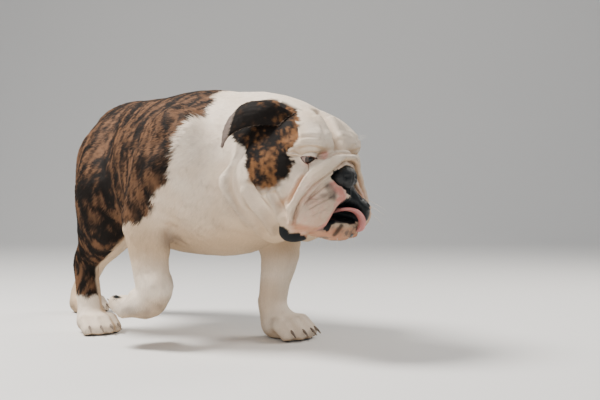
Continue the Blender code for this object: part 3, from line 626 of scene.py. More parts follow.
def refined(mesh, chosen):
    """Halves the faces whose corners are all among the chosen points."""
    bm = bmesh.new()
    bm.from_mesh(mesh)
    bm.verts.ensure_lookup_table()
    faces = [face for face in bm.faces if all(chosen[vert.index] for vert in face.verts)]
    edges = list({edge for face in faces for edge in face.edges})
    bmesh.ops.subdivide_edges(bm, edges=edges, cuts=1, use_grid_fill=True)
    bmesh.ops.triangulate(bm, faces=[face for face in bm.faces if len(face.verts) > 4])
    bm.to_mesh(mesh)
    bm.free()
    mesh.update()


def settled(mesh, tree, chosen, reach):
    """Lays the chosen points back on the solids' surface."""
    points = coords(mesh)
    for index in np.flatnonzero(chosen):
        at, _, _, gap = tree.find_nearest(points[index], reach)
        if at is not None:
            points[index] = at
    coords(mesh, points)


# Each fold: path in the head's axes, half width, depth, and how far its two sides swell
FACE_FOLDS = (
    (((0.0690, -0.0790, -0.0500), (0.0745, -0.0745, -0.0360), (0.0775, -0.0680, -0.0200), (0.0800, -0.0540, -0.0010),
      (0.0855, -0.0405, 0.0115), (0.0900, -0.0296, 0.0200), (0.0940, -0.0164, 0.0240), (0.0950, 0.0, 0.0250)),
     0.0022, 0.0070, 0.0018),
    (((0.0780, -0.0730, -0.0800), (0.0817, -0.0709, -0.0673), (0.0829, -0.0713, -0.0543), (0.0853, -0.0665, -0.0352),
      (0.0906, -0.0572, -0.0192), (0.0952, -0.0454, -0.0073), (0.0982, -0.0332, 0.0012), (0.1000, -0.0233, 0.0090),
      (0.1006, -0.0120, 0.0150), (0.1010, 0.0, 0.0165)), 0.0021, 0.0070, 0.0018),
    (((0.0540, -0.0705, 0.0130), (0.0591, -0.0686, 0.0161), (0.0689, -0.0625, 0.0205), (0.0757, -0.0538, 0.0240),
      (0.0798, -0.0434, 0.0250), (0.0800, -0.0302, 0.0235)), 0.0012, 0.0030, 0.0008),
    (((0.0570, -0.0700, 0.0180), (0.0625, -0.0686, 0.0225), (0.0679, -0.0650, 0.0281), (0.0732, -0.0565, 0.0317),
      (0.0790, -0.0461, 0.0328), (0.0818, -0.0313, 0.0311)), 0.0016, 0.0028, 0.0012),
    (((0.0650, -0.0655, 0.0325), (0.0739, -0.0544, 0.0363), (0.0802, -0.0427, 0.0369), (0.0825, -0.0264, 0.0352)),
     0.0015, 0.0018, 0.0008),
    (((0.0640, -0.0640, 0.0400), (0.0720, -0.0540, 0.0440), (0.0790, -0.0400, 0.0430)), 0.0018, 0.0013, 0.0007),
    (((0.0708, -0.0600, 0.0060), (0.0760, -0.0515, 0.0035), (0.0817, -0.0443, 0.0060), (0.0842, -0.0347, 0.0125)),
     0.0014, 0.0016, 0.0006),
    (((0.0340, 0.0, 0.0800), (0.0470, 0.0, 0.0700), (0.0560, 0.0, 0.0600), (0.0645, 0.0, 0.0490),
      (0.0720, 0.0, 0.0370), (0.0790, 0.0, 0.0290)), 0.0058, 0.0085, 0.0014),
    (((0.0850, -0.0610, -0.0440), (0.0861, -0.0590, -0.0389), (0.0865, -0.0495, -0.0314), (0.0905, -0.0420, -0.0244),
      (0.0939, -0.0356, -0.0176), (0.0964, -0.0280, -0.0120)), 0.0015, 0.0018, 0.0006),
    (((0.0937, -0.0629, -0.0480), (0.0969, -0.0574, -0.0432), (0.1012, -0.0481, -0.0374), (0.1047, -0.0379, -0.0319),
      (0.1071, -0.0262, -0.0253)), 0.0015, 0.0018, 0.0006),
    (((0.1010, -0.0610, -0.0560), (0.1027, -0.0586, -0.0520), (0.1081, -0.0472, -0.0449), (0.1109, -0.0361, -0.0396)),
     0.0015, 0.0015, 0.0005),
    (((0.0478, -0.0833, -0.0301), (0.0569, -0.0752, -0.0468), (0.0702, -0.0772, -0.0589), (0.0737, -0.0730, -0.0702)),
     0.0040, 0.0052, 0.0022),
    (((0.0360, -0.0860, -0.0350), (0.0397, -0.0845, -0.0382), (0.0529, -0.0730, -0.0665), (0.0600, -0.0687, -0.0767)),
     0.0038, 0.0044, 0.0020),
    (((0.0073, -0.0891, -0.0241), (0.0224, -0.0865, -0.0414), (0.0387, -0.0797, -0.0571), (0.0489, -0.0670, -0.0795),
      (0.0500, -0.0500, -0.0950)), 0.0058, 0.0080, 0.0034),
    (((-0.0080, -0.0780, 0.0330), (-0.0150, -0.0860, 0.0100), (-0.0180, -0.0900, -0.0120), (-0.0149, -0.0884, -0.0388),
      (-0.0019, -0.0800, -0.0637), (0.0249, -0.0701, -0.0803), (0.0279, -0.0494, -0.1010)), 0.0060, 0.0070, 0.0024),
    (((-0.0480, -0.0870, -0.0250), (-0.0330, -0.0900, -0.0560), (-0.0080, -0.0781, -0.0850), (0.0080, -0.0600, -0.1020)),
     0.0075, 0.0070, 0.0030),
    (EYE_CORNER, 0.0012, 0.0016, 0.0003),
    (((0.1065, 0.0, -0.0150), (0.1080, 0.0, -0.0230), (0.1085, 0.0, -0.0330)), 0.0012, 0.0016, 0.0004),
)
# Each swelling: path in the head's axes, half width and height
FACE_SWELLS = (
    (((0.0760, -0.0730, -0.0620), (0.0800, -0.0700, -0.0360), (0.0860, -0.0570, -0.0110), (0.0930, -0.0380, 0.0060),
      (0.0970, -0.0180, 0.0180), (0.0980, 0.0, 0.0210)), 0.0065, 0.0016),
    (((0.0480, -0.0150, 0.0690), (0.0640, -0.0130, 0.0560), (0.0760, -0.0130, 0.0420)), 0.0085, 0.0034),
    (((0.0560, -0.0560, 0.0440), (0.0660, -0.0470, 0.0480), (0.0760, -0.0300, 0.0460)), 0.0125, 0.0034),
    (((0.0980, -0.0420, -0.0340), (0.1020, -0.0450, -0.0500)), 0.0130, 0.0016),
)
BODY_FOLDS = (
    (((0.1066, -0.0599, 0.3562), (0.1362, -0.1103, 0.3268), (0.1298, -0.1278, 0.3017), (0.1156, -0.1393, 0.2812),
      (0.1081, -0.1474, 0.2647), (0.0951, -0.1514, 0.2428), (0.0811, -0.1516, 0.2191)), 0.010, 0.0022, 0.0010),
    (((0.0050, -0.1250, 0.2650), (0.0154, -0.1260, 0.2400), (0.0229, -0.1244, 0.2226), (0.0380, -0.1320, 0.2000)),
     0.008, 0.0026, 0.0008),
    (((0.1200, -0.0950, 0.1850), (0.1050, -0.1050, 0.1680), (0.0980, -0.0850, 0.1540), (0.0970, -0.0650, 0.1480)),
     0.007, 0.0026, 0.0010),
    (((-0.1000, -0.0900, 0.3150), (-0.1080, -0.1150, 0.2750), (-0.1000, -0.1240, 0.2300)), 0.010, 0.0020, 0.0008),
    (((0.1900, -0.0700, 0.2150), (0.1850, -0.0800, 0.1950), (0.2000, -0.0650, 0.1780), (0.2250, -0.0450, 0.1700)),
     0.006, 0.0024, 0.0012),
)


def folded(points, folds):
    """How far each point moves along its normal, for folds on the dog's right side and the same on its left."""
    moved = np.zeros(len(points))
    for side in (1, -1):
        mine = np.flatnonzero(points[:, 1] * side < 0.0001)
        near_side = points[mine] * (1, side, 1)
        for path, width, *depths in folds:
            line = through(path, 5)
            near = within(near_side, line, 5 * width)
            if not len(near):
                continue
            gap, along = reach_of(near_side[near], line)
            ends = ease(0, 0.12, along)
            if abs(path[-1][1]) > 0.002:
                ends *= ease(1, 0.88, along)
            if len(depths) == 1:
                change = depths[0] * np.exp(-((gap / width) ** 2))
            else:
                change = -depths[0] * np.exp(-((gap / width) ** 2))
                change += depths[1] * np.exp(-(((gap - 2.4 * width) / (1.2 * width)) ** 2))
            moved[mine[near]] += ends * change
    return moved


LID_OPENING = through(((88, 3), (76, 10), (52, 15), (25, 16), (-6, 14), (-28, 10), (-50, 3), (-30, -12),
                       (-4, -25), (20, -31), (48, -29), (74, -14)), 5, closed=True)
LENGTH_PER_DEGREE = EYE_RADIUS * math.pi / 180


def eye_centre(side):
    return np.array(HEAD @ Vector((EYE_CENTRE.x, side * EYE_CENTRE.y, EYE_CENTRE.z)))


def eye_angles(points, side):
    """Angles round an eye, outward from straight ahead and upward, and the distance from its centre."""
    local = to_head(points) - (EYE_CENTRE.x, side * EYE_CENTRE.y, EYE_CENTRE.z)
    away = np.linalg.norm(local, axis=1)
    across = np.degrees(np.arctan2(side * local[:, 1], local[:, 0]))
    up = np.degrees(np.arcsin(np.clip(local[:, 2] / np.maximum(away, 1e-9), -1, 1)))
    return across, up, away


def eye_point(side, across, up, radius):
    """A point at those angles and that distance from the eye's centre."""
    a, b = np.radians(across), np.radians(up)
    local = np.stack([np.cos(b) * np.cos(a), side * np.cos(b) * np.sin(a), np.sin(b)], axis=-1)
    return from_head(local * np.asarray(radius)[..., None] + (EYE_CENTRE.x, side * EYE_CENTRE.y, EYE_CENTRE.z))


def open_lids(mesh):
    """Fits the lids to the eyeballs and clears the skin from the opening between them."""
    points = coords(mesh)
    for side in (-1, 1):
        across, up, away = eye_angles(points, side)
        near = np.flatnonzero((away < 0.026) & (across > -75) & (across < 125) & (np.abs(up) < 75))
        gap = signed_gap(np.column_stack([across[near], up[near]]), LID_OPENING) * LENGTH_PER_DEGREE
        outside = EYE_RADIUS + 0.0011 + 0.12 * np.maximum(gap, 0)
        keep = ease(0.001, 0.0075, gap)
        target = outside * (1 - keep) + away[near] * keep
        inside = EYE_RADIUS + 0.0011 - 0.0050 * ease(0, 0.0011, -gap)
        target = np.where(gap < 0, inside, target)
        points[near] = eye_point(side, across[near], up[near], target)
    coords(mesh, points)


def skin_finish():
    """Short coat and bare skin, coloured by the masks that the mesh carries."""
    paint = colours()
    finish = Finish("dog_coat", Specular_IOR_Level=0.13)
    mask = finish.attribute
    place = finish.place()
    specks = finish.noise(place, 420, 2)
    drift = finish.noise(place, 38, 3)
    # Sand over the cream where the low mask is set: partly the coat's own tint, partly painted shade under the body and
    # painted warm light on the inner legs.
    white = finish.mix(mask("low"), paint.cream, paint.sand)
    white = finish.mix(finish.ramp(drift, 0.35, 0.75) * 0.22, white, paint.sand)
    # Tan: the chin's own colour. In the face folds it is partly stain, partly painted shade in the creases.
    white = finish.mix(mask("tan"), white, paint.tan)
    white = finish.mix(mask("pink") * (0.75 + 0.5 * specks), white, paint.pink)
    white = finish.mix(mask("grey") * (0.7 + 0.6 * specks), white, paint.slate)
    light = finish.mix(mask("orange"), paint.fawn, paint.orange)
    dark = finish.mix(mask("streak") * (0.75 + 0.5 * specks), paint.bark, light)
    coat = finish.mix(mask("brindle"), white, dark)
    coat = finish.mix(mask("black"), coat, paint.soot)
    tone = mask("tone") * 0.20 + 0.90
    toned = finish.node("ShaderNodeVectorMath", {"operation": "SCALE"}, {0: coat, "Scale": tone})
    hair = finish.noise(place, 1400, 2, (0.35, 1, 1))
    normal = finish.bump(hair, 0.0004, 0.5, finish.bump(finish.noise(place, 160, 3), 0.0006, 0.35))
    roughness = 0.76 - mask("wet") * 0.42 - mask("brindle") * 0.06
    return finish.give(Base_Color=toned.outputs[0], Roughness=roughness, Normal=normal)


def mark(mesh, place, masks, tone, times=1):
    """Writes the colour masks into a mesh, each value for that many points in turn."""
    for name, values in masks.items():
        put_values(mesh, name, np.repeat(values, times))
    put_values(mesh, "tone", np.repeat(tone, times))
    put_values(mesh, "place", np.repeat(place, times, axis=0), "FLOAT_VECTOR")


class OBJECT_OT_dog_skin(bpy.types.Operator):
    """One skin over torso, neck, head, jaw, legs, paws and tail, with the folds and lids"""

    bl_idname = "object.dog_skin"
    bl_label = "Skin"

    def execute(self, context):
        whole = joined_solids(FLESH, 0.0004)
        skin = remeshed("dog_skin", whole, sizes().skin_grain)
        tree = BVHTree.FromBMesh(whole)
        whole.free()
        mesh = skin.data
        smoothed(mesh, 12)
        unwrapped(skin)

        head = to_head(coords(mesh))
        face = (head[:, 0] > -0.012) & (head[:, 2] < 0.085) & (head[:, 2] > -0.115)
        refined(mesh, face)
        head = to_head(coords(mesh))
        face = (head[:, 0] > -0.010) & (head[:, 2] < 0.084) & (head[:, 2] > -0.113)
        settled(mesh, tree, face, 0.004)
        smoothed(mesh, 6, face.astype(float))
        head = to_head(coords(mesh))
        side = np.abs(head[:, 1])
        eyes = np.linalg.norm(np.column_stack([head[:, 0], side, head[:, 2]]) - np.array(EYE_CENTRE), axis=1) < 0.027
        refined(mesh, eyes | ((head[:, 0] > 0.074) & (head[:, 2] < 0.026)))
        smoothed(mesh, 2, ease(-0.01, 0.0, to_head(coords(mesh))[:, 0]))

        points = coords(mesh)
        normal = normals(mesh)
        head = to_head(points)
        inset = sizes().coat_depth * (1 - 0.5 * ease(0.02, 0.07, head[:, 0]))
        points = points - normal * inset[:, None]
        moved = folded(to_head(points), FACE_FOLDS) + folded(to_head(points), FACE_SWELLS)
        moved += folded(points - DRIFT, BODY_FOLDS)
        feet = ease(0.0, 0.004, points[:, 2])
        moved += 0.0009 * (cloud(points, 0.035, 11) - 0.5) * feet
        points = points + normal * moved[:, None]
        points[:, 2] = np.maximum(points[:, 2], 0.0004)
        coords(mesh, points)
        smoothed(mesh, 2)
        open_lids(mesh)
        points = coords(mesh)
        mark(mesh, points, markings(points, normals(mesh)), np.full(len(points), 0.42))
        dress(skin, skin_finish(), "white_coat", *[name for name in FLESH if not name.startswith("eye")])
        return {"FINISHED"}


class OBJECT_OT_dog_ears(bpy.types.Operator):
    """Both ears as thin folded flaps"""

    bl_idname = "object.dog_ears"
    bl_label = "Ears"

    def execute(self, context):
        for name in ("ear_right", "ear_left"):
            whole = joined_solids([name], 0.0)
            ear = remeshed("dog_" + name, whole, 0.0011)
            whole.free()
            smoothed(ear.data, 8)
            unwrapped(ear)
            mesh = ear.data
            points, normal = coords(mesh), normals(mesh)
            veins = 0.0009 * (cloud(points, 0.009, 12) - 0.5)
            coords(mesh, points + normal * veins[:, None])
            masks = ear_masks(points, normal, -1 if name == "ear_right" else 1)
            mark(mesh, points, masks, np.full(len(points), 0.42))
            dress(ear, bpy.data.materials["dog_coat"], "brindle_coat", name)
        return {"FINISHED"}


def ear_masks(place, normal, side):
    """The masks on an ear: mottled outside, bare and grey inside."""
    masks = markings(place, normal)
    inner = inner_ear(to_head(place), normal, side)
    masks["grey"] = inner
    masks["brindle"] = 1 - inner
    masks["orange"] = np.ones(len(place))
    head = to_head(place)
    # Brown tinge along the ear's top and front edges: partly its own mottling, partly painted sheen along the top edge.
    brown = np.maximum(ease(0.069, 0.080, head[:, 2]), ease(0.004, 0.026, head[:, 0]))
    masks["streak"] = masks["streak"] * (0.12 + 0.75 * brown)
    return masks


def inner_ear(head, normal, side):
    """1 on the bare inner side of an ear."""
    turned = normal @ np.array(HEAD_BACK)[:3, :3].T
    facing = turned @ np.array((0.25, -side * 0.75, -0.45))
    folded_tip = ease(-0.0285, -0.0315, head[:, 0] + 0.10 * (head[:, 2] - 0.04))
    return np.clip(np.maximum(ease(0.25, 0.5, facing), folded_tip), 0, 1)


def grid_mesh(name, rings, closed=True, caps=True):
    """A mesh through rings of points, each ring with the same number."""
    rings = np.asarray(rings)
    count, sides = rings.shape[:2]
    faces = []
    for row in range(count - 1):
        for column in range(sides if closed else sides - 1):
            after = (column + 1) % sides
            faces.append((row * sides + column, row * sides + after, (row + 1) * sides + after,
                          (row + 1) * sides + column))
    if caps:
        faces.append(tuple(range(sides))[::-1])
        faces.append(tuple((count - 1) * sides + column for column in range(sides)))
    mesh = bpy.data.meshes.new(name)
    mesh.from_pydata(rings.reshape(-1, 3).tolist(), [], faces)
    mesh.validate()
    return mesh


def tube_rings(path, radii, sides):
    """Rings of points round a path."""
    way = unit(np.gradient(path, axis=0))
    across = unit(np.cross(way, np.tile((0.13, 0.31, 0.94), (len(path), 1))))
    other = np.cross(way, across)
    turn = np.arange(sides) * 2 * math.pi / sides
    spokes = np.cos(turn)[None, :, None] * across[:, None] + np.sin(turn)[None, :, None] * other[:, None]
    return path[:, None] + spokes * np.asarray(radii)[:, None, None]


def merged(name, meshes):
    """Several meshes as one object."""
    bm = bmesh.new()
    for mesh in meshes:
        bm.from_mesh(mesh)
        bpy.data.meshes.remove(mesh)
    bmesh.ops.recalc_face_normals(bm, faces=bm.faces)
    mesh = bpy.data.meshes.new(name)
    bm.to_mesh(mesh)
    bm.free()
    return new_object(name, mesh)


class OBJECT_OT_dog_eyes(bpy.types.Operator):
    """Both eyeballs with a raised cornea, and the wet rims of the lids"""

    bl_idname = "object.dog_eyes"
    bl_label = "Eyes"

    def execute(self, context):
        rims = []
        for side, name, ahead in ((-1, "eye_right", 27.0), (1, "eye_left", 10.0)):
            centre = eye_centre(side)
            look = unit(eye_point(side, ahead, -3.0, 1.0) - centre)
            self.ball("dog_" + name, centre, look, name)
            ring = through(LID_OPENING[::5], 6, closed=True)
            lift = EYE_RADIUS + 0.0007
            path = eye_point(side, ring[:, 0], ring[:, 1], np.full(len(ring), lift))
            path = np.vstack([path, path[:1]])
            rims.append(grid_mesh("rim", tube_rings(path, np.full(len(path), 0.00065), 8), caps=False))
            corner = eye_point(side, np.array([-36.0, -31.0, -24.0]), np.array([3.0, 1.5, 0.0]),
                               np.array([EYE_RADIUS + 0.0004, EYE_RADIUS + 0.0006, EYE_RADIUS - 0.0003]))
            path = through(corner, 4)
            swell = 0.0013 * np.sin(np.linspace(0.35, math.pi - 0.2, len(path)))
            rims.append(grid_mesh("corner", tube_rings(path, swell, 10)))
        rim = merged("dog_lid_rims", rims)
        paint = colours()
        finish = Finish("lid_rim", Coat_Weight=0.6, Coat_Roughness=0.12)
        blush = finish.ramp(finish.noise(finish.position(), 260, 2), 0.4, 0.66)
        colour_map = finish.mix(blush, (0.040, 0.016, 0.013), (0.30, 0.09, 0.07))
        finish.give(Base_Color=colour_map, Roughness=0.3 + 0.2 * blush,
                    Normal=finish.bump(finish.noise(finish.position(), 900), 0.0002, 0.4))
        dress(rim, finish.material, "eye")
        return {"FINISHED"}

    def ball(self, name, centre, look, node):
        rows, sides = 48, 64
        across = unit(np.cross(look, (0, 0, 1)))
        other = np.cross(across, look)
        angles = np.linspace(0.012, math.pi - 0.012, rows)
        turn = np.arange(sides) * 2 * math.pi / sides
        rings = []
        for angle in angles:
            radius = EYE_RADIUS + 0.0007 * max(0.0, 1 - (math.degrees(angle) / 33) ** 2)
            spokes = np.cos(turn)[:, None] * across + np.sin(turn)[:, None] * other
            rings.append(centre + radius * (math.cos(angle) * look + math.sin(angle) * spokes))
        ball = merged(name, [grid_mesh(name, rings)])
        paint = colours()
        finish = Finish(name, Specular_IOR_Level=0.42)
        away = finish.node("ShaderNodeVectorMath", {"operation": "SUBTRACT"},
                           {0: finish.position(), 1: tuple(centre)}).outputs[0]
        away = finish.node("ShaderNodeVectorMath", {"operation": "NORMALIZE"}, {0: away}).outputs[0]
        facing = Value(finish, finish.node("ShaderNodeVectorMath", {"operation": "DOT_PRODUCT"},
                                           {0: away, 1: tuple(look)}).outputs["Value"])
        streaks = finish.noise(away, 14, 4)
        iris = finish.ramp(facing, math.cos(math.radians(36)), math.cos(math.radians(32)))
        ring = finish.ramp(facing, math.cos(math.radians(32)), math.cos(math.radians(23)))
        pupil = finish.ramp(facing, math.cos(math.radians(14)), math.cos(math.radians(12)))
        white = finish.mix(finish.ramp(streaks, 0.45, 0.7), (0.36, 0.27, 0.23), (0.27, 0.13, 0.11))
        brown = finish.mix(ring * (0.5 + streaks), (0.010, 0.006, 0.004), paint.iris)
        seen = finish.mix(pupil, finish.mix(iris, white, brown), (0.002, 0.002, 0.002))
        finish.give(Base_Color=seen, Roughness=0.07 + 0.1 * (1 - iris))
        dress(ball, finish.material, "eye", node)


class OBJECT_OT_dog_nose(bpy.types.Operator):
    """The nose leather"""

    bl_idname = "object.dog_nose"
    bl_label = "Nose"

    def execute(self, context):
        whole = joined_solids(["nose"], 0.0003)
        nose = remeshed("dog_nose", whole, 0.0009)
        whole.free()
        smoothed(nose.data, 8)
        unwrapped(nose)
        finish = Finish("nose_leather", Specular_IOR_Level=0.30)
        where = finish.position()
        pebbles = finish.cells(where, 900)
        glow = finish.noise(where, 120, 3)
        shade = finish.mix(finish.ramp(pebbles, 0.2, 0.8), colours().nose, (0.004, 0.005, 0.006))
        finish.give(Base_Color=shade, Roughness=0.36 + 0.22 * glow,
                    Normal=finish.bump(1 - pebbles, 0.0005, 0.6))
        dress(nose, finish.material, "nose_leather", "nose")
        return {"FINISHED"}


class OBJECT_OT_dog_tongue(bpy.types.Operator):
    """The tongue that hangs over the far lip"""

    bl_idname = "object.dog_tongue"
    bl_label = "Tongue"

    def execute(self, context):
        whole = joined_solids(["tongue"], 0.0)
        tongue = remeshed("dog_tongue", whole, 0.0009)
        whole.free()
        smoothed(tongue.data, 10)
        unwrapped(tongue)
        # The tongue's inner side, turned along (-0.20, -0.90, -0.30), gets painted shade: the inner attribute marks it
        # for a darker red.
        shaded_facing = normals(tongue.data) @ np.array((-0.20, -0.90, -0.30))
        put_values(tongue.data, "inner", ease(0.05, 0.65, shaded_facing))
        finish = Finish("tongue_flesh", Subsurface_Weight=0.2, Subsurface_Scale=0.004, Coat_Roughness=0.2)
        where = finish.position()
        buds = finish.cells(where, 1300)
        blotch = finish.noise(where, 110, 3)
        flesh = finish.mix(finish.ramp(blotch, 0.35, 0.7), colours().tongue, (0.40, 0.12, 0.11))
        # Painted shade: darker red on the tongue's inner side.
        flesh = finish.mix(finish.attribute("inner") * 0.8, flesh, (0.24, 0.050, 0.045))
        finish.give(Base_Color=finish.mix(finish.ramp(buds, 0.1, 0.6) * 0.3, flesh, (0.66, 0.33, 0.29)),
                    Roughness=0.38 + 0.2 * blotch, Coat_Weight=0.25 + 0.1 * blotch,
                    Normal=finish.bump(1 - buds, 0.0004, 0.5))
        dress(tongue, finish.material, "tongue_flesh", "tongue")
        return {"FINISHED"}


class OBJECT_OT_dog_claws(bpy.types.Operator):
    """All the claws, rounded"""

    bl_idname = "object.dog_claws"
    bl_label = "Claws"

    def execute(self, context):
        mesh = bpy.data.meshes.new("dog_claws")
        whole = joined_solids(CLAWS, 0.0003)
        whole.to_mesh(mesh)
        whole.free()
        claws = new_object("dog_claws", mesh)
        modifier = claws.modifiers.new("round", "SUBSURF")
        modifier.levels = 2
        seen = claws.evaluated_get(bpy.context.evaluated_depsgraph_get())
        claws.data = bpy.data.meshes.new_from_object(seen)
        claws.modifiers.clear()
        finish = Finish("claw_horn", Specular_IOR_Level=0.45)
        where = finish.position()
        grain = finish.noise(where, 500, 3, (0.25, 1, 1))
        shade = finish.mix(finish.ramp(grain, 0.35, 0.7), colours().claw, (0.24, 0.18, 0.13))
        finish.give(Base_Color=shade, Roughness=0.36 + 0.2 * grain, Normal=finish.bump(grain, 0.0003, 0.5))
        dress(claws, finish.material, "claw", *CLAWS)
        return {"FINISHED"}


# Coat


def lie_of(place, normal, head):
    """The way the hair lies: back along the body, down the legs, away from the nose on the head."""
    z = place[:, 2]
    body = np.tile((-1.0, 0.0, -0.35), (len(place), 1))
    body[:, 2] -= 0.8 * ease(0.30, 0.20, z)
    leg = np.tile((-0.15, 0.0, -1.0), (len(place), 1))
    in_leg = ease(0.18, 0.14, z)[:, None]
    lie = body * (1 - in_leg) + leg * in_leg
    toes = ease(0.035, 0.02, z)[:, None]
    lie = lie * (1 - toes) + np.array((0.8, 0.0, -0.5)) * toes
    from_nose = unit(head - (0.125, 0.0, 0.0)) @ np.array(HEAD)[:3, :3].T
    on_head = (ease(-0.06, 0.0, head[:, 0]) * ease(-0.14, -0.10, head[:, 2]))[:, None]
    lie = lie * (1 - on_head) + from_nose * on_head
    return lie


def roots_on(mesh, coverage, length_at, rng):
    """Random places for tufts, as many as cover the surface that often."""
    mesh.calc_loop_triangles()
    count = len(mesh.loop_triangles)
    corners, loops = np.empty(count * 3, int), np.empty(count * 3, int)
    mesh.loop_triangles.foreach_get("vertices", corners)
    mesh.loop_triangles.foreach_get("loops", loops)
    corners, loops = corners.reshape(-1, 3), loops.reshape(-1, 3)
    points, normal = coords(mesh), normals(mesh)
    a, b, c = (points[corners[:, index]] for index in range(3))
    area = np.linalg.norm(np.cross(b - a, c - a), axis=1) / 2
    length = length_at(points)[corners].mean(1)
    share = area * coverage / (length * width_of(length) * 0.5)
    bare = np.empty(len(points))
    mesh.attributes["bare"].data.foreach_get("value", bare)
    share *= 1 - bare[corners].mean(1)
    total = int(share.sum())
    chosen = np.searchsorted(np.cumsum(share), rng.random(total) * share.sum())
    chosen = np.minimum(chosen, count - 1)
    first, second = rng.random(total), rng.random(total)
    over = first + second > 1
    first[over], second[over] = 1 - first[over], 1 - second[over]
    weight = np.column_stack([1 - first - second, first, second])[:, :, None]
    uv = np.empty(len(mesh.loops) * 2)
    mesh.uv_layers["OFBake"].data.foreach_get("uv", uv)
    uv = uv.reshape(-1, 2)
    return (
        (points[corners[chosen]] * weight).sum(1),
        unit((normal[corners[chosen]] * weight).sum(1)),
        (uv[loops[chosen]] * weight).sum(1),
    )


def width_of(length):
    return 0.00030 + length * 0.10


def hair_length(points):
    """Length of the tufts by place: short on the face and feet, longest on back and rump."""
    head = to_head(points)
    size = sizes()
    length = np.full(len(points), size.body_hair)
    length -= (size.body_hair - size.face_hair * 1.8) * ease(0.17, 0.12, points[:, 2])
    feet = ease(0.06, 0.03, points[:, 2])
    length = length * (1 - feet) + size.face_hair * 1.15 * feet
    face = ease(-0.08, 0.02, head[:, 0]) * ease(-0.15, -0.11, head[:, 2])
    length = length * (1 - face) + size.face_hair * 1.25 * face
    front = ease(0.04, 0.07, head[:, 0])
    length = length * (1 - front) + size.face_hair * 0.85 * front
    eye = np.linalg.norm(np.column_stack([head[:, 0], np.abs(head[:, 1]), head[:, 2]]) - np.array(EYE_CENTRE), axis=1)
    return length * (0.66 + 0.34 * ease(0.020, 0.036, eye))


def tuft_piece(name, place, normal, lie, length, uv, masks, rng):
    """One mesh of closed tapered tufts."""
    count = len(place)
    along = unit(lie - normal * (lie * normal).sum(1)[:, None])
    turn = rng.normal(0, 0.16, count)[:, None]
    along = unit(along + np.cross(normal, along) * turn)
    across = np.cross(normal, along)
    length = (length * rng.uniform(0.75, 1.25, count))[:, None]
    width = (width_of(length[:, 0]) * rng.uniform(0.8, 1.2, count))[:, None]
    lift = (sizes().hair_lift * np.clip(length[:, 0] / sizes().body_hair, 0.42, 1) * rng.uniform(0.25, 1.15, count))
    root = place - normal * 0.0004
    left = root - across * width / 2
    right = root + across * width / 2
    crest = place + along * length * 0.30 + normal * (0.30 * width + 0.35 * lift[:, None])
    tip = place + along * length + normal * lift[:, None]
    points = np.stack([left, right, crest, tip], axis=1).reshape(-1, 3)
    points[:, 2] = np.maximum(points[:, 2], 0.0003)
    faces = np.array(((0, 2, 1), (0, 3, 2), (2, 3, 1), (1, 3, 0)))
    faces = (np.arange(count)[:, None, None] * 4 + faces).reshape(-1)
    mesh = bpy.data.meshes.new(name)
    mesh.vertices.add(count * 4)
    mesh.loops.add(count * 12)
    mesh.polygons.add(count * 4)
    mesh.vertices.foreach_set("co", points.ravel())
    mesh.loops.foreach_set("vertex_index", faces)
    mesh.polygons.foreach_set("loop_start", np.arange(0, count * 12, 3))
    mesh.update(calc_edges=True)
    corner_uv = np.array(((-0.0015, 0.0), (0.0015, 0.0), (0.0, 0.0012), (0.0, 0.0030)))
    layer = mesh.uv_layers.new(name="OFBake")
    layer.data.foreach_set("uv", (uv[:, None] + corner_uv).reshape(-1, 2)[faces].ravel())
    mesh.shade_smooth()
    leaned = np.stack([normal - 0.28 * across, normal + 0.28 * across, normal, normal + 0.12 * along], axis=1)
    leaned = unit(leaned + rng.normal(0, 0.06, (count, 1, 3))).reshape(-1, 3)
    mesh.normals_split_custom_set_from_vertices(leaned)
    mark(mesh, place, masks, rng.random(count), 4)
    piece = new_object(name, mesh)
    mesh.materials.append(bpy.data.materials["dog_coat"])
    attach(piece, "root")
    return piece


def mark_bare(mesh):
    """Notes where no tufts grow: nose rim, lips, mouth, lid margins and pads."""
    points, normal = coords(mesh), normals(mesh)
    marks = markings(points, normal)
    head = to_head(points)
    bare = ease(0.3, 0.7, marks["black"])
    nose = np.linalg.norm((head - (0.099, 0.0, -0.003)) / (0.0170, 0.0220, 0.0180), axis=1)
    bare = np.maximum(bare, 1 - ease(0.95, 1.05, nose))
    for side in (-1, 1):
        across, up, away = eye_angles(points, side)
        gap = signed_gap(np.column_stack([across, up]), LID_OPENING) * LENGTH_PER_DEGREE
        bare = np.maximum(bare, (away < 0.022) * (gap < 0.0014))
    bare = np.maximum(bare, 0.6 * ease(0.4, 0.9, marks["pink"]) * (head[:, 0] > 0.06))
    put_values(mesh, "bare", np.clip(bare, 0, 1))


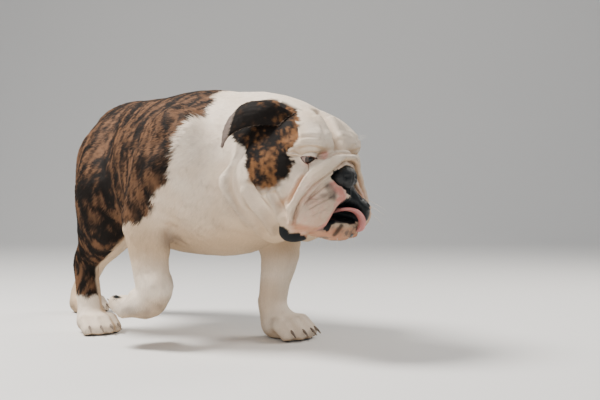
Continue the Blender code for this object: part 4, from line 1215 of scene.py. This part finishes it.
class OBJECT_OT_dog_coat(bpy.types.Operator):
    """Short tufts over the skin and ears, in pieces by part of the body"""

    bl_idname = "object.dog_coat"
    bl_label = "Coat"

    def execute(self, context):
        rng = np.random.default_rng(SEED + 1)
        skin = get("dog_skin").data
        mark_bare(skin)
        place, normal, uv = roots_on(skin, sizes().coverage, hair_length, rng)
        head = to_head(place)
        lie = lie_of(place, normal, head)
        length = hair_length(place)
        masks = markings(place, normal)
        saddle = masks["brindle"] > 0.5
        # White tufts run from the nose to the hind feet, brindle ones from the cheek to the tail
        for group, picked, slot in (("white", ~saddle, "white_coat"), ("brindle", saddle, "brindle_coat")):
            index = np.flatnonzero(picked)
            index = index[np.argsort(-place[index, 0], kind="stable")]
            for number, part in enumerate(np.array_split(index, max(1, math.ceil(len(index) / 46000)))):
                mine = {name: values[part] for name, values in masks.items()}
                tuft_piece(f"coat_{group}_{number + 1}", place[part], normal[part], lie[part], length[part],
                           uv[part], mine, rng)
        self.ear_coat(rng)
        return {"FINISHED"}

    def ear_coat(self, rng):
        for name, side in (("ear_right", -1), ("ear_left", 1)):
            mesh = get("dog_" + name).data
            inner = np.empty(len(mesh.vertices))
            mesh.attributes["grey"].data.foreach_get("value", inner)
            put_values(mesh, "bare", 0.85 * inner)
            place, normal, uv = roots_on(mesh, 1.6, lambda points: np.full(len(points), 0.0042), rng)
            lie = np.tile(np.array(HEAD.to_3x3() @ Vector((-0.8, side * 0.35, -0.5))), (len(place), 1))
            masks = ear_masks(place, normal, side)
            tuft_piece("coat_" + name, place, normal, lie, np.full(len(place), 0.0042), uv, masks, rng)


# Whiskers: root in the head's axes, direction, length
WHISKERS = (
    ((0.1085, -0.0350, -0.0330), (0.30, -0.62, -0.50), 0.007), ((0.1060, -0.0420, -0.0400), (0.22, -0.70, -0.60), 0.008),
    ((0.1030, -0.0490, -0.0460), (0.10, -0.70, -0.65), 0.007), ((0.1000, 0.0500, -0.0330), (0.75, 0.60, -0.20), 0.034),
    ((0.1000, 0.0520, -0.0430), (0.70, 0.65, -0.32), 0.030), ((0.0980, 0.0540, -0.0520), (0.60, 0.62, -0.50), 0.026),
    ((0.1120, -0.0150, -0.0830), (0.25, -0.15, -0.95), 0.018), ((0.1060, -0.0240, -0.0850), (0.05, -0.25, -0.95), 0.016),
    ((0.0980, -0.0300, -0.0870), (-0.15, -0.30, -0.92), 0.015), ((0.1160, 0.0040, -0.0830), (0.35, 0.10, -0.92), 0.014),
    ((0.0900, -0.0330, -0.0880), (0.10, -0.35, -0.92), 0.016), ((0.1100, 0.0200, -0.0830), (0.30, 0.30, -0.90), 0.015),
)


class OBJECT_OT_dog_whiskers(bpy.types.Operator):
    """Whiskers, chin hairs and lashes"""

    bl_idname = "object.dog_whiskers"
    bl_label = "Whiskers"

    def execute(self, context):
        rng = np.random.default_rng(SEED + 2)
        turn = np.array(HEAD)[:3, :3]
        thick = sizes().whisker
        skin = get("dog_skin").data
        tree = BVHTree.FromPolygons([vert.co for vert in skin.vertices], [poly.vertices for poly in skin.polygons])
        hairs = []
        for root, way, length in WHISKERS:
            stout = 1.0 if length > 0.02 else 0.55
            hairs.append(self.hair(tree, from_head(root), unit(turn @ np.array(way)), length, stout * thick))
        for side in (-1, 1):
            for step in range(15):
                across = 64 - 6.2 * step + rng.uniform(-1, 1)
                up = 18 - 0.0036 * (across - 24) ** 2
                start = eye_point(side, across, up, EYE_RADIUS + 0.0012)
                out = unit(eye_point(side, across + 6, up - 8, EYE_RADIUS + 0.010) - start)
                hairs.append(self.hair(None, start, out, rng.uniform(0.004, 0.006), thick * 0.42))
            for step in range(3):
                root = np.array((0.079 - 0.004 * step, side * (0.034 + 0.009 * step), 0.041 + 0.003 * step))
                way = unit(turn @ np.array((0.75, side * 0.25, 0.45)))
                hairs.append(self.hair(tree, from_head(root), way, 0.015, thick * 0.5))
        whiskers = merged("dog_whiskers", hairs)
        finish = Finish("whisker_hair", Specular_IOR_Level=0.5)
        shade = finish.noise(finish.position(), 90, 2)
        finish.give(Base_Color=finish.mix(shade, (0.62, 0.54, 0.44), (0.75, 0.68, 0.60)),
                    Roughness=0.42 + 0.1 * shade)
        dress(whiskers, finish.material, "white_coat")
        return {"FINISHED"}

    def hair(self, tree, root, way, length, thick):
        if tree is not None:
            at, _, _, _ = tree.find_nearest(Vector(root))
            root = np.array(at) - way * 0.0008
        t = np.linspace(0, 1, 8)[:, None]
        path = root + way * t * length + np.array((0, 0, -0.16)) * length * t**2
        return grid_mesh("hair", tube_rings(path, thick * (1 - 0.88 * t[:, 0]), 5))


class OBJECT_OT_dog_stage(bpy.types.Operator):
    """Pale floor, soft studio light and the camera"""

    bl_idname = "object.dog_stage"
    bl_label = "Stage"

    def execute(self, context):
        stage = context.scene.dog_stage
        self.floor(stage)
        target = Vector((0.08, -0.02, 0.22))
        self.light("key", (-0.45, -0.80, 1.75), target, 0.7, stage.key, (1.0, 0.965, 0.92))
        self.light("fill", (1.05, -1.10, 0.60), target, 1.2, stage.fill, (1.0, 0.95, 0.90))
        self.light("rim", (0.45, 1.25, 1.15), target, 0.8, stage.rim, (1.0, 0.95, 0.88))
        world = bpy.data.worlds.new("studio")
        world.use_nodes = True
        shade = next(node for node in world.node_tree.nodes if node.type == "BACKGROUND")
        shade.inputs["Color"].default_value = (0.86, 0.90, 0.96, 1)
        shade.inputs["Strength"].default_value = stage.sky
        context.scene.world = world
        lens = bpy.data.cameras.new("camera")
        lens.lens = 60
        lens.sensor_width = 36
        lens.clip_start = 0.05
        camera = bpy.data.objects.new("camera", lens)
        context.scene.collection.objects.link(camera)
        camera.location = np.array((1.2314, -0.9677, 0.24)) + DRIFT
        way = Vector((-1, 1, 0)).normalized()
        way.z = -20 / 1000
        camera.rotation_euler = way.to_track_quat("-Z", "Y").to_euler()
        context.scene.camera = camera
        return {"FINISHED"}

    def floor(self, stage):
        """A floor that curves up into a backdrop on the side away from the camera."""
        away = np.array((-0.7071, 0.7071, 0.0))
        wide = np.array((0.7071, 0.7071, 0.0))
        rows = [(-4.0, 0.0), (2.2, 0.0)]
        rows += [(2.2 + 1.2 * math.sin(a), 1.2 - 1.2 * math.cos(a)) for a in np.linspace(0.1, math.pi / 2, 12)]
        rows.append((3.4, 5.0))
        points = [away * out + np.array((0, 0, up)) + wide * side for out, up in rows for side in (-5, 5)]
        faces = [(2 * row, 2 * row + 1, 2 * row + 3, 2 * row + 2) for row in range(len(rows) - 1)]
        mesh = bpy.data.meshes.new("floor")
        mesh.from_pydata([tuple(point) for point in points], [], faces)
        mesh.shade_smooth()
        floor = new_object("floor", mesh)
        finish = Finish("floor", Roughness=0.85)
        drift = finish.noise(finish.position(), 3, 2)
        finish.give(Base_Color=finish.mix(drift * 0.1, stage.floor, (0.70, 0.69, 0.67)))
        mesh.materials.append(finish.material)

    def light(self, name, place, target, size, power, tint):
        lamp = bpy.data.lights.new(name, "AREA")
        lamp.shape = "DISK"
        lamp.size = size
        lamp.energy = power
        lamp.color = tint
        obj = bpy.data.objects.new(name, lamp)
        bpy.context.scene.collection.objects.link(obj)
        obj.location = place
        obj.rotation_euler = (target - Vector(place)).to_track_quat("-Z", "Y").to_euler()


STEPS = (OBJECT_OT_dog_skin, OBJECT_OT_dog_ears, OBJECT_OT_dog_eyes, OBJECT_OT_dog_nose, OBJECT_OT_dog_tongue,
         OBJECT_OT_dog_claws, OBJECT_OT_dog_coat, OBJECT_OT_dog_whiskers, OBJECT_OT_dog_stage)


class VIEW3D_PT_dog(bpy.types.Panel):
    """Lists the steps that dress the dog"""

    bl_idname = "VIEW3D_PT_dog"
    bl_label = "Bulldog"
    bl_space_type = "VIEW_3D"
    bl_region_type = "UI"
    bl_category = "Bulldog"

    def draw(self, context):
        for group in (context.scene.dog_sizes, context.scene.dog_colours, context.scene.dog_stage):
            column = self.layout.column(align=True)
            for name in group.__annotations__:
                column.prop(group, name)
        for step in STEPS:
            self.layout.operator(step.bl_idname)


CLASSES = (DogSizes, DogColours, DogStage, *STEPS, VIEW3D_PT_dog)


def register():
    for item in CLASSES:
        bpy.utils.register_class(item)
    bpy.types.Scene.dog_sizes = PointerProperty(type=DogSizes)
    bpy.types.Scene.dog_colours = PointerProperty(type=DogColours)
    bpy.types.Scene.dog_stage = PointerProperty(type=DogStage)


def unregister():
    del bpy.types.Scene.dog_stage
    del bpy.types.Scene.dog_colours
    del bpy.types.Scene.dog_sizes
    for item in reversed(CLASSES):
        bpy.utils.unregister_class(item)


def main():
    register()
    for step in STEPS:
        group, name = step.bl_idname.split(".")
        getattr(getattr(bpy.ops, group), name)()


if __name__ == "__main__":
    main()
